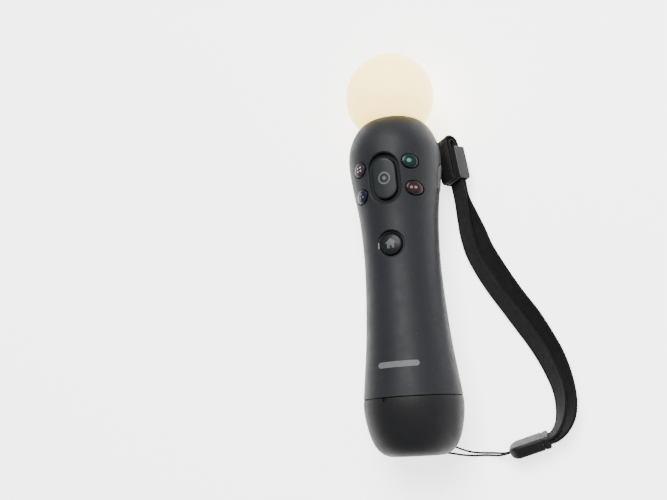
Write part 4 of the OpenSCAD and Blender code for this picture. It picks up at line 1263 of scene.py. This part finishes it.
def makeSlider(p):
    wide, long, out = sliderAxes(webbing)
    origin = Vector(webbing["sliderPlace"])
    half = p["thick"] / 2
    w, l, c, e = p["wide"], p["long"], p["corner"], p["edge"]
    rings = []
    for turn in (0, 30, 60, 90):
        s, k = 1 - math.sin(math.radians(turn)), 1 - math.cos(math.radians(turn))
        rings.append((w - 2 * e * s, l - 2 * e * s, c, -half + e * k))
    rings += [(w, l, c, half - e)]
    for turn in (30, 60, 90):
        s, k = 1 - math.cos(math.radians(turn)), 1 - math.sin(math.radians(turn))
        rings.append((w - 2 * e * s, l - 2 * e * s, c, half - e * k))
    body = stack("strapSlider", rings, placeOn(origin, wide, long, out), arc=5, sideU=4, sideV=6)
    mw, mt = p["mouth"]
    reach = l / 2
    tool = []
    flare = [(reach + 1, 1.0), (reach - 0.05, 0.8), (reach - 0.25, 0.4), (reach - 0.7, 0.0)]
    for end, grow in [(-a, g) for a, g in flare] + flare[::-1]:
        tool.append((mw + grow, mt + grow, 0.5 + grow / 2, end))
    mouth = stack("mouthTool", tool, placeOn(origin, wide, out, long), arc=4, sideU=1, sideV=1)
    combine(body, mouth, "DIFFERENCE")
    smoothed(body, 40)
    mat = mouldedMaterial("sliderGrey", {"colour": p["colour"], "rough": 0.45, "grain": 0.3, "depth": 0.03,
                                         "bite": 0.6, "wear": 0.5, "dust": 0.2, "fade": 1.3, "shine": 0.3})
    return settle(body, "strapSlider", mat, "slider", "slider_grey", "strap_slider")


makeSlider(slider)

joint = {"place": (47.5, -98.2, 6.1), "turn": 16, "tilt": 108, "long": 18.6, "wide": 10.6, "thick": 5.6,
         "edge": 1.1, "colour": (0.005, 0.005, 0.0055)}


def makeJoint(p):
    turn, tilt = math.radians(p["turn"]), math.radians(p["tilt"])
    a = Vector((math.cos(turn), math.sin(turn), 0))
    b = Vector((-math.sin(turn) * math.cos(tilt), math.cos(turn) * math.cos(tilt), math.sin(tilt)))
    c = a.cross(b)
    origin = Vector(p["place"])
    halfL, halfW, halfT = p["long"] / 2, p["wide"] / 2, p["thick"] / 2
    # sections across its length: along, width share, thickness share
    shape = [(-halfL + 0.05, 0.3, 0.42), (-halfL + 0.2, 0.4, 0.56), (-halfL + 0.7, 0.55, 0.72),
             (-halfL + 1.6, 0.74, 0.88), (-halfL + 2.8, 0.92, 0.97), (-halfL + 4.0, 1.0, 1.0),
             (-halfL + 6, 1.0, 1.0), (0, 1.0, 1.0),
             (halfL - 3.2, 1.0, 1.0), (halfL - 2.9, 0.95, 0.9), (halfL - 2.5, 0.95, 0.9),
             (halfL - 2.2, 1.0, 1.0),
             (halfL - 0.5, 1.0, 1.0), (halfL - 0.15, 0.97, 0.93), (halfL, 0.92, 0.86)]
    rings = [(2 * halfW * s, 2 * halfT * t, p["edge"], x) for x, s, t in shape]
    body = stack("strapJoint", rings, placeOn(origin, b, c, a), arc=5, sideU=3, sideV=2)
    mouth = [(9.6, 3.2, 0.6, halfL - 5.4), (9.6, 3.2, 0.6, halfL - 0.6), (10.0, 3.6, 0.7, halfL - 0.2),
             (10.3, 4.0, 0.9, halfL + 2)]
    combine(body, stack("mouthTool", mouth, placeOn(origin, b, c, a), arc=4, sideV=1), "DIFFERENCE")
    neck = [(3.0, 3.0, 9, -halfL - 1), (2.7, 2.7, 9, -halfL + 0.15), (2.4, 2.4, 9, -halfL + 0.5),
            (2.4, 2.4, 9, -halfL + 3.2)]
    combine(body, stack("neckTool", neck, placeOn(origin, b, c, a), arc=6, sideV=1), "DIFFERENCE")
    smoothed(body, 40)
    mat = mouldedMaterial("jointBlack", {"colour": p["colour"], "rough": 0.5, "grain": 0.25, "depth": 0.03,
                                         "bite": 0.6, "wear": 0.3, "dust": 0.2, "shine": 0.2})
    return settle(body, "strapJoint", mat, "controller", "joint_black", "strap_joint")


makeJoint(joint)
print("slider and joint done")


# the pieces inside, and the metal that shows
def metalMaterial(name, colour, rough, lines=0.0, stretch=(40, 1, 1)):
    mat, tree, skin = newMaterial(name)
    where = coords(tree)
    brushed = noise(tree, where, 900, 3, 0.6, stretch if lines else None)
    tarnish = noise(tree, where, 260, 4, 0.6)
    dull = remap(tree, tarnish, 0.35, 0.75, 0, 1)
    link(tree, mixColour(tree, dull, colour, tuple(c * 0.72 for c in colour)), skin.inputs["Base Color"])
    skin.inputs["Metallic"].default_value = 1.0
    link(tree, remap(tree, brushed, 0.3, 0.7, rough - 0.07, rough + 0.1), skin.inputs["Roughness"])
    link(tree, bump(tree, brushed, 0.00001 + lines * 0.00002, 0.5), skin.inputs["Normal"])
    return mat


def boardMaterial(name, colour):
    # solder mask with tracks and vias under it
    mat, tree, skin = newMaterial(name)
    where = coords(tree)
    x, y, _ = split(tree, where)
    lane = calc(tree, "PINGPONG", calc(tree, "ADD", x, calc(tree, "MULTIPLY", y, 0.35)), 0.0007)
    track = remap(tree, lane, 0.0001, 0.00016, 1, 0, True)
    some = remap(tree, noise(tree, where, 260, 2), 0.48, 0.52, 0, 1, True)
    via = specks(tree, where, 900, 0.2)
    base = mixColour(tree, calc(tree, "MULTIPLY", calc(tree, "MULTIPLY", track, some), 0.6), colour,
                     tuple(c * 2.1 for c in colour))
    base = mixColour(tree, via, base, (0.62, 0.5, 0.25))
    link(tree, base, skin.inputs["Base Color"])
    link(tree, remap(tree, noise(tree, where, 700, 3), 0.3, 0.7, 0.25, 0.38), skin.inputs["Roughness"])
    skin.inputs["Coat Weight"].default_value = 0.4
    link(tree, bump(tree, track, 0.00003, 0.5), skin.inputs["Normal"])
    return mat


def clearMaterial(name, colour, rough):
    mat, tree, skin = newMaterial(name)
    where = coords(tree)
    frost = noise(tree, where, 1500, 4, 0.6)
    link(tree, mixColour(tree, frost, colour, tuple(c * 0.88 for c in colour)), skin.inputs["Base Color"])
    link(tree, remap(tree, frost, 0.3, 0.7, rough - 0.08, rough + 0.1), skin.inputs["Roughness"])
    skin.inputs["Transmission Weight"].default_value = 0.55
    skin.inputs["Subsurface Weight"].default_value = 0.3
    skin.inputs["Subsurface Scale"].default_value = 0.001
    link(tree, bump(tree, frost, 0.00001, 0.4), skin.inputs["Normal"])
    return mat


def plainMaterial(name, colour, rough, grain=0.3, depth=0.015, coat=0.0):
    return mouldedMaterial(name, {"colour": colour, "rough": rough, "grain": grain, "depth": depth,
                                  "wear": 0.3, "coat": coat})


inside = [
    ("frame_plastic", plainMaterial("frameGrey", (0.05, 0.05, 0.055), 0.5),
     ["sphere_collar", "trigger_bracket", "inner_frame"]),
    ("clear_plastic", clearMaterial("frostedClear", (0.86, 0.87, 0.9), 0.4), ["light_guide"]),
    ("clear_plastic", plainMaterial("smokyPipe", (0.035, 0.037, 0.038), 0.4), ["status_light_pipe"]),
    ("board_laminate", boardMaterial("boardGreen", (0.012, 0.09, 0.045)),
     ["led_board", "main_board", "side_boards", "trigger_sensor_board", "usb_board"]),
    ("led_body", plainMaterial("ledWhite", (0.85, 0.85, 0.78), 0.35, 0.2, 0.005), ["rgb_led"]),
    ("tin_plate", metalMaterial("tinPlate", (0.72, 0.73, 0.74), 0.3, 1.0),
     ["shield_can", "motor_can", "usb_socket"]),
    ("chip_black", plainMaterial("chipBlack", (0.02, 0.02, 0.022), 0.55, 0.12, 0.012),
     ["chips", "tact_switches", "side_switches", "trigger_sensor", "reset_switch"]),
    ("plunger_white", plainMaterial("plungerWhite", (0.8, 0.79, 0.74), 0.4),
     ["main_plunger", *["action_plunger_" + letter for letter in "abcd"], "home_plunger", "start_plunger",
      "select_plunger", "battery_connector"]),
    ("steel", metalMaterial("plainSteel", (0.6, 0.6, 0.62), 0.28, 1.0, (1, 60, 1)),
     ["trigger_pin", "trigger_spring", "trigger_magnet", "lanyard_bar", "case_screws", "board_screws"]),
    ("cell_foil", plainMaterial("cellWrap", (0.05, 0.12, 0.28), 0.3, 0.5, 0.01, coat=0.5), ["battery_pack"]),
    ("lead_red", plainMaterial("leadRed", (0.45, 0.02, 0.02), 0.4), ["battery_leads"]),
    ("lead_grey", plainMaterial("leadGrey", (0.4, 0.4, 0.4), 0.4), ["base_leads"]),
    ("boot_rubber", plainMaterial("bootRubber", (0.02, 0.02, 0.02), 0.65, 0.2, 0.03), ["motor_boot"]),
    ("weight_brass", metalMaterial("sinteredBrass", (0.6, 0.48, 0.28), 0.42), ["motor_rotor"]),
    ("socket_black", plainMaterial("socketBlack", (0.014, 0.014, 0.015), 0.45), ["expansion_socket"]),
    ("button_black", plainMaterial("resetBlack", (0.02, 0.02, 0.022), 0.4), ["reset_button"]),
    ("contact_brass", metalMaterial("platedBrass", (0.42, 0.3, 0.12), 0.3), ["charge_contacts"]),
]
for slotName, mat, names in inside:
    for n in names:
        nodes[n].data.materials.clear()
        nodes[n].data.materials.append(mat)
print("inside pieces painted")
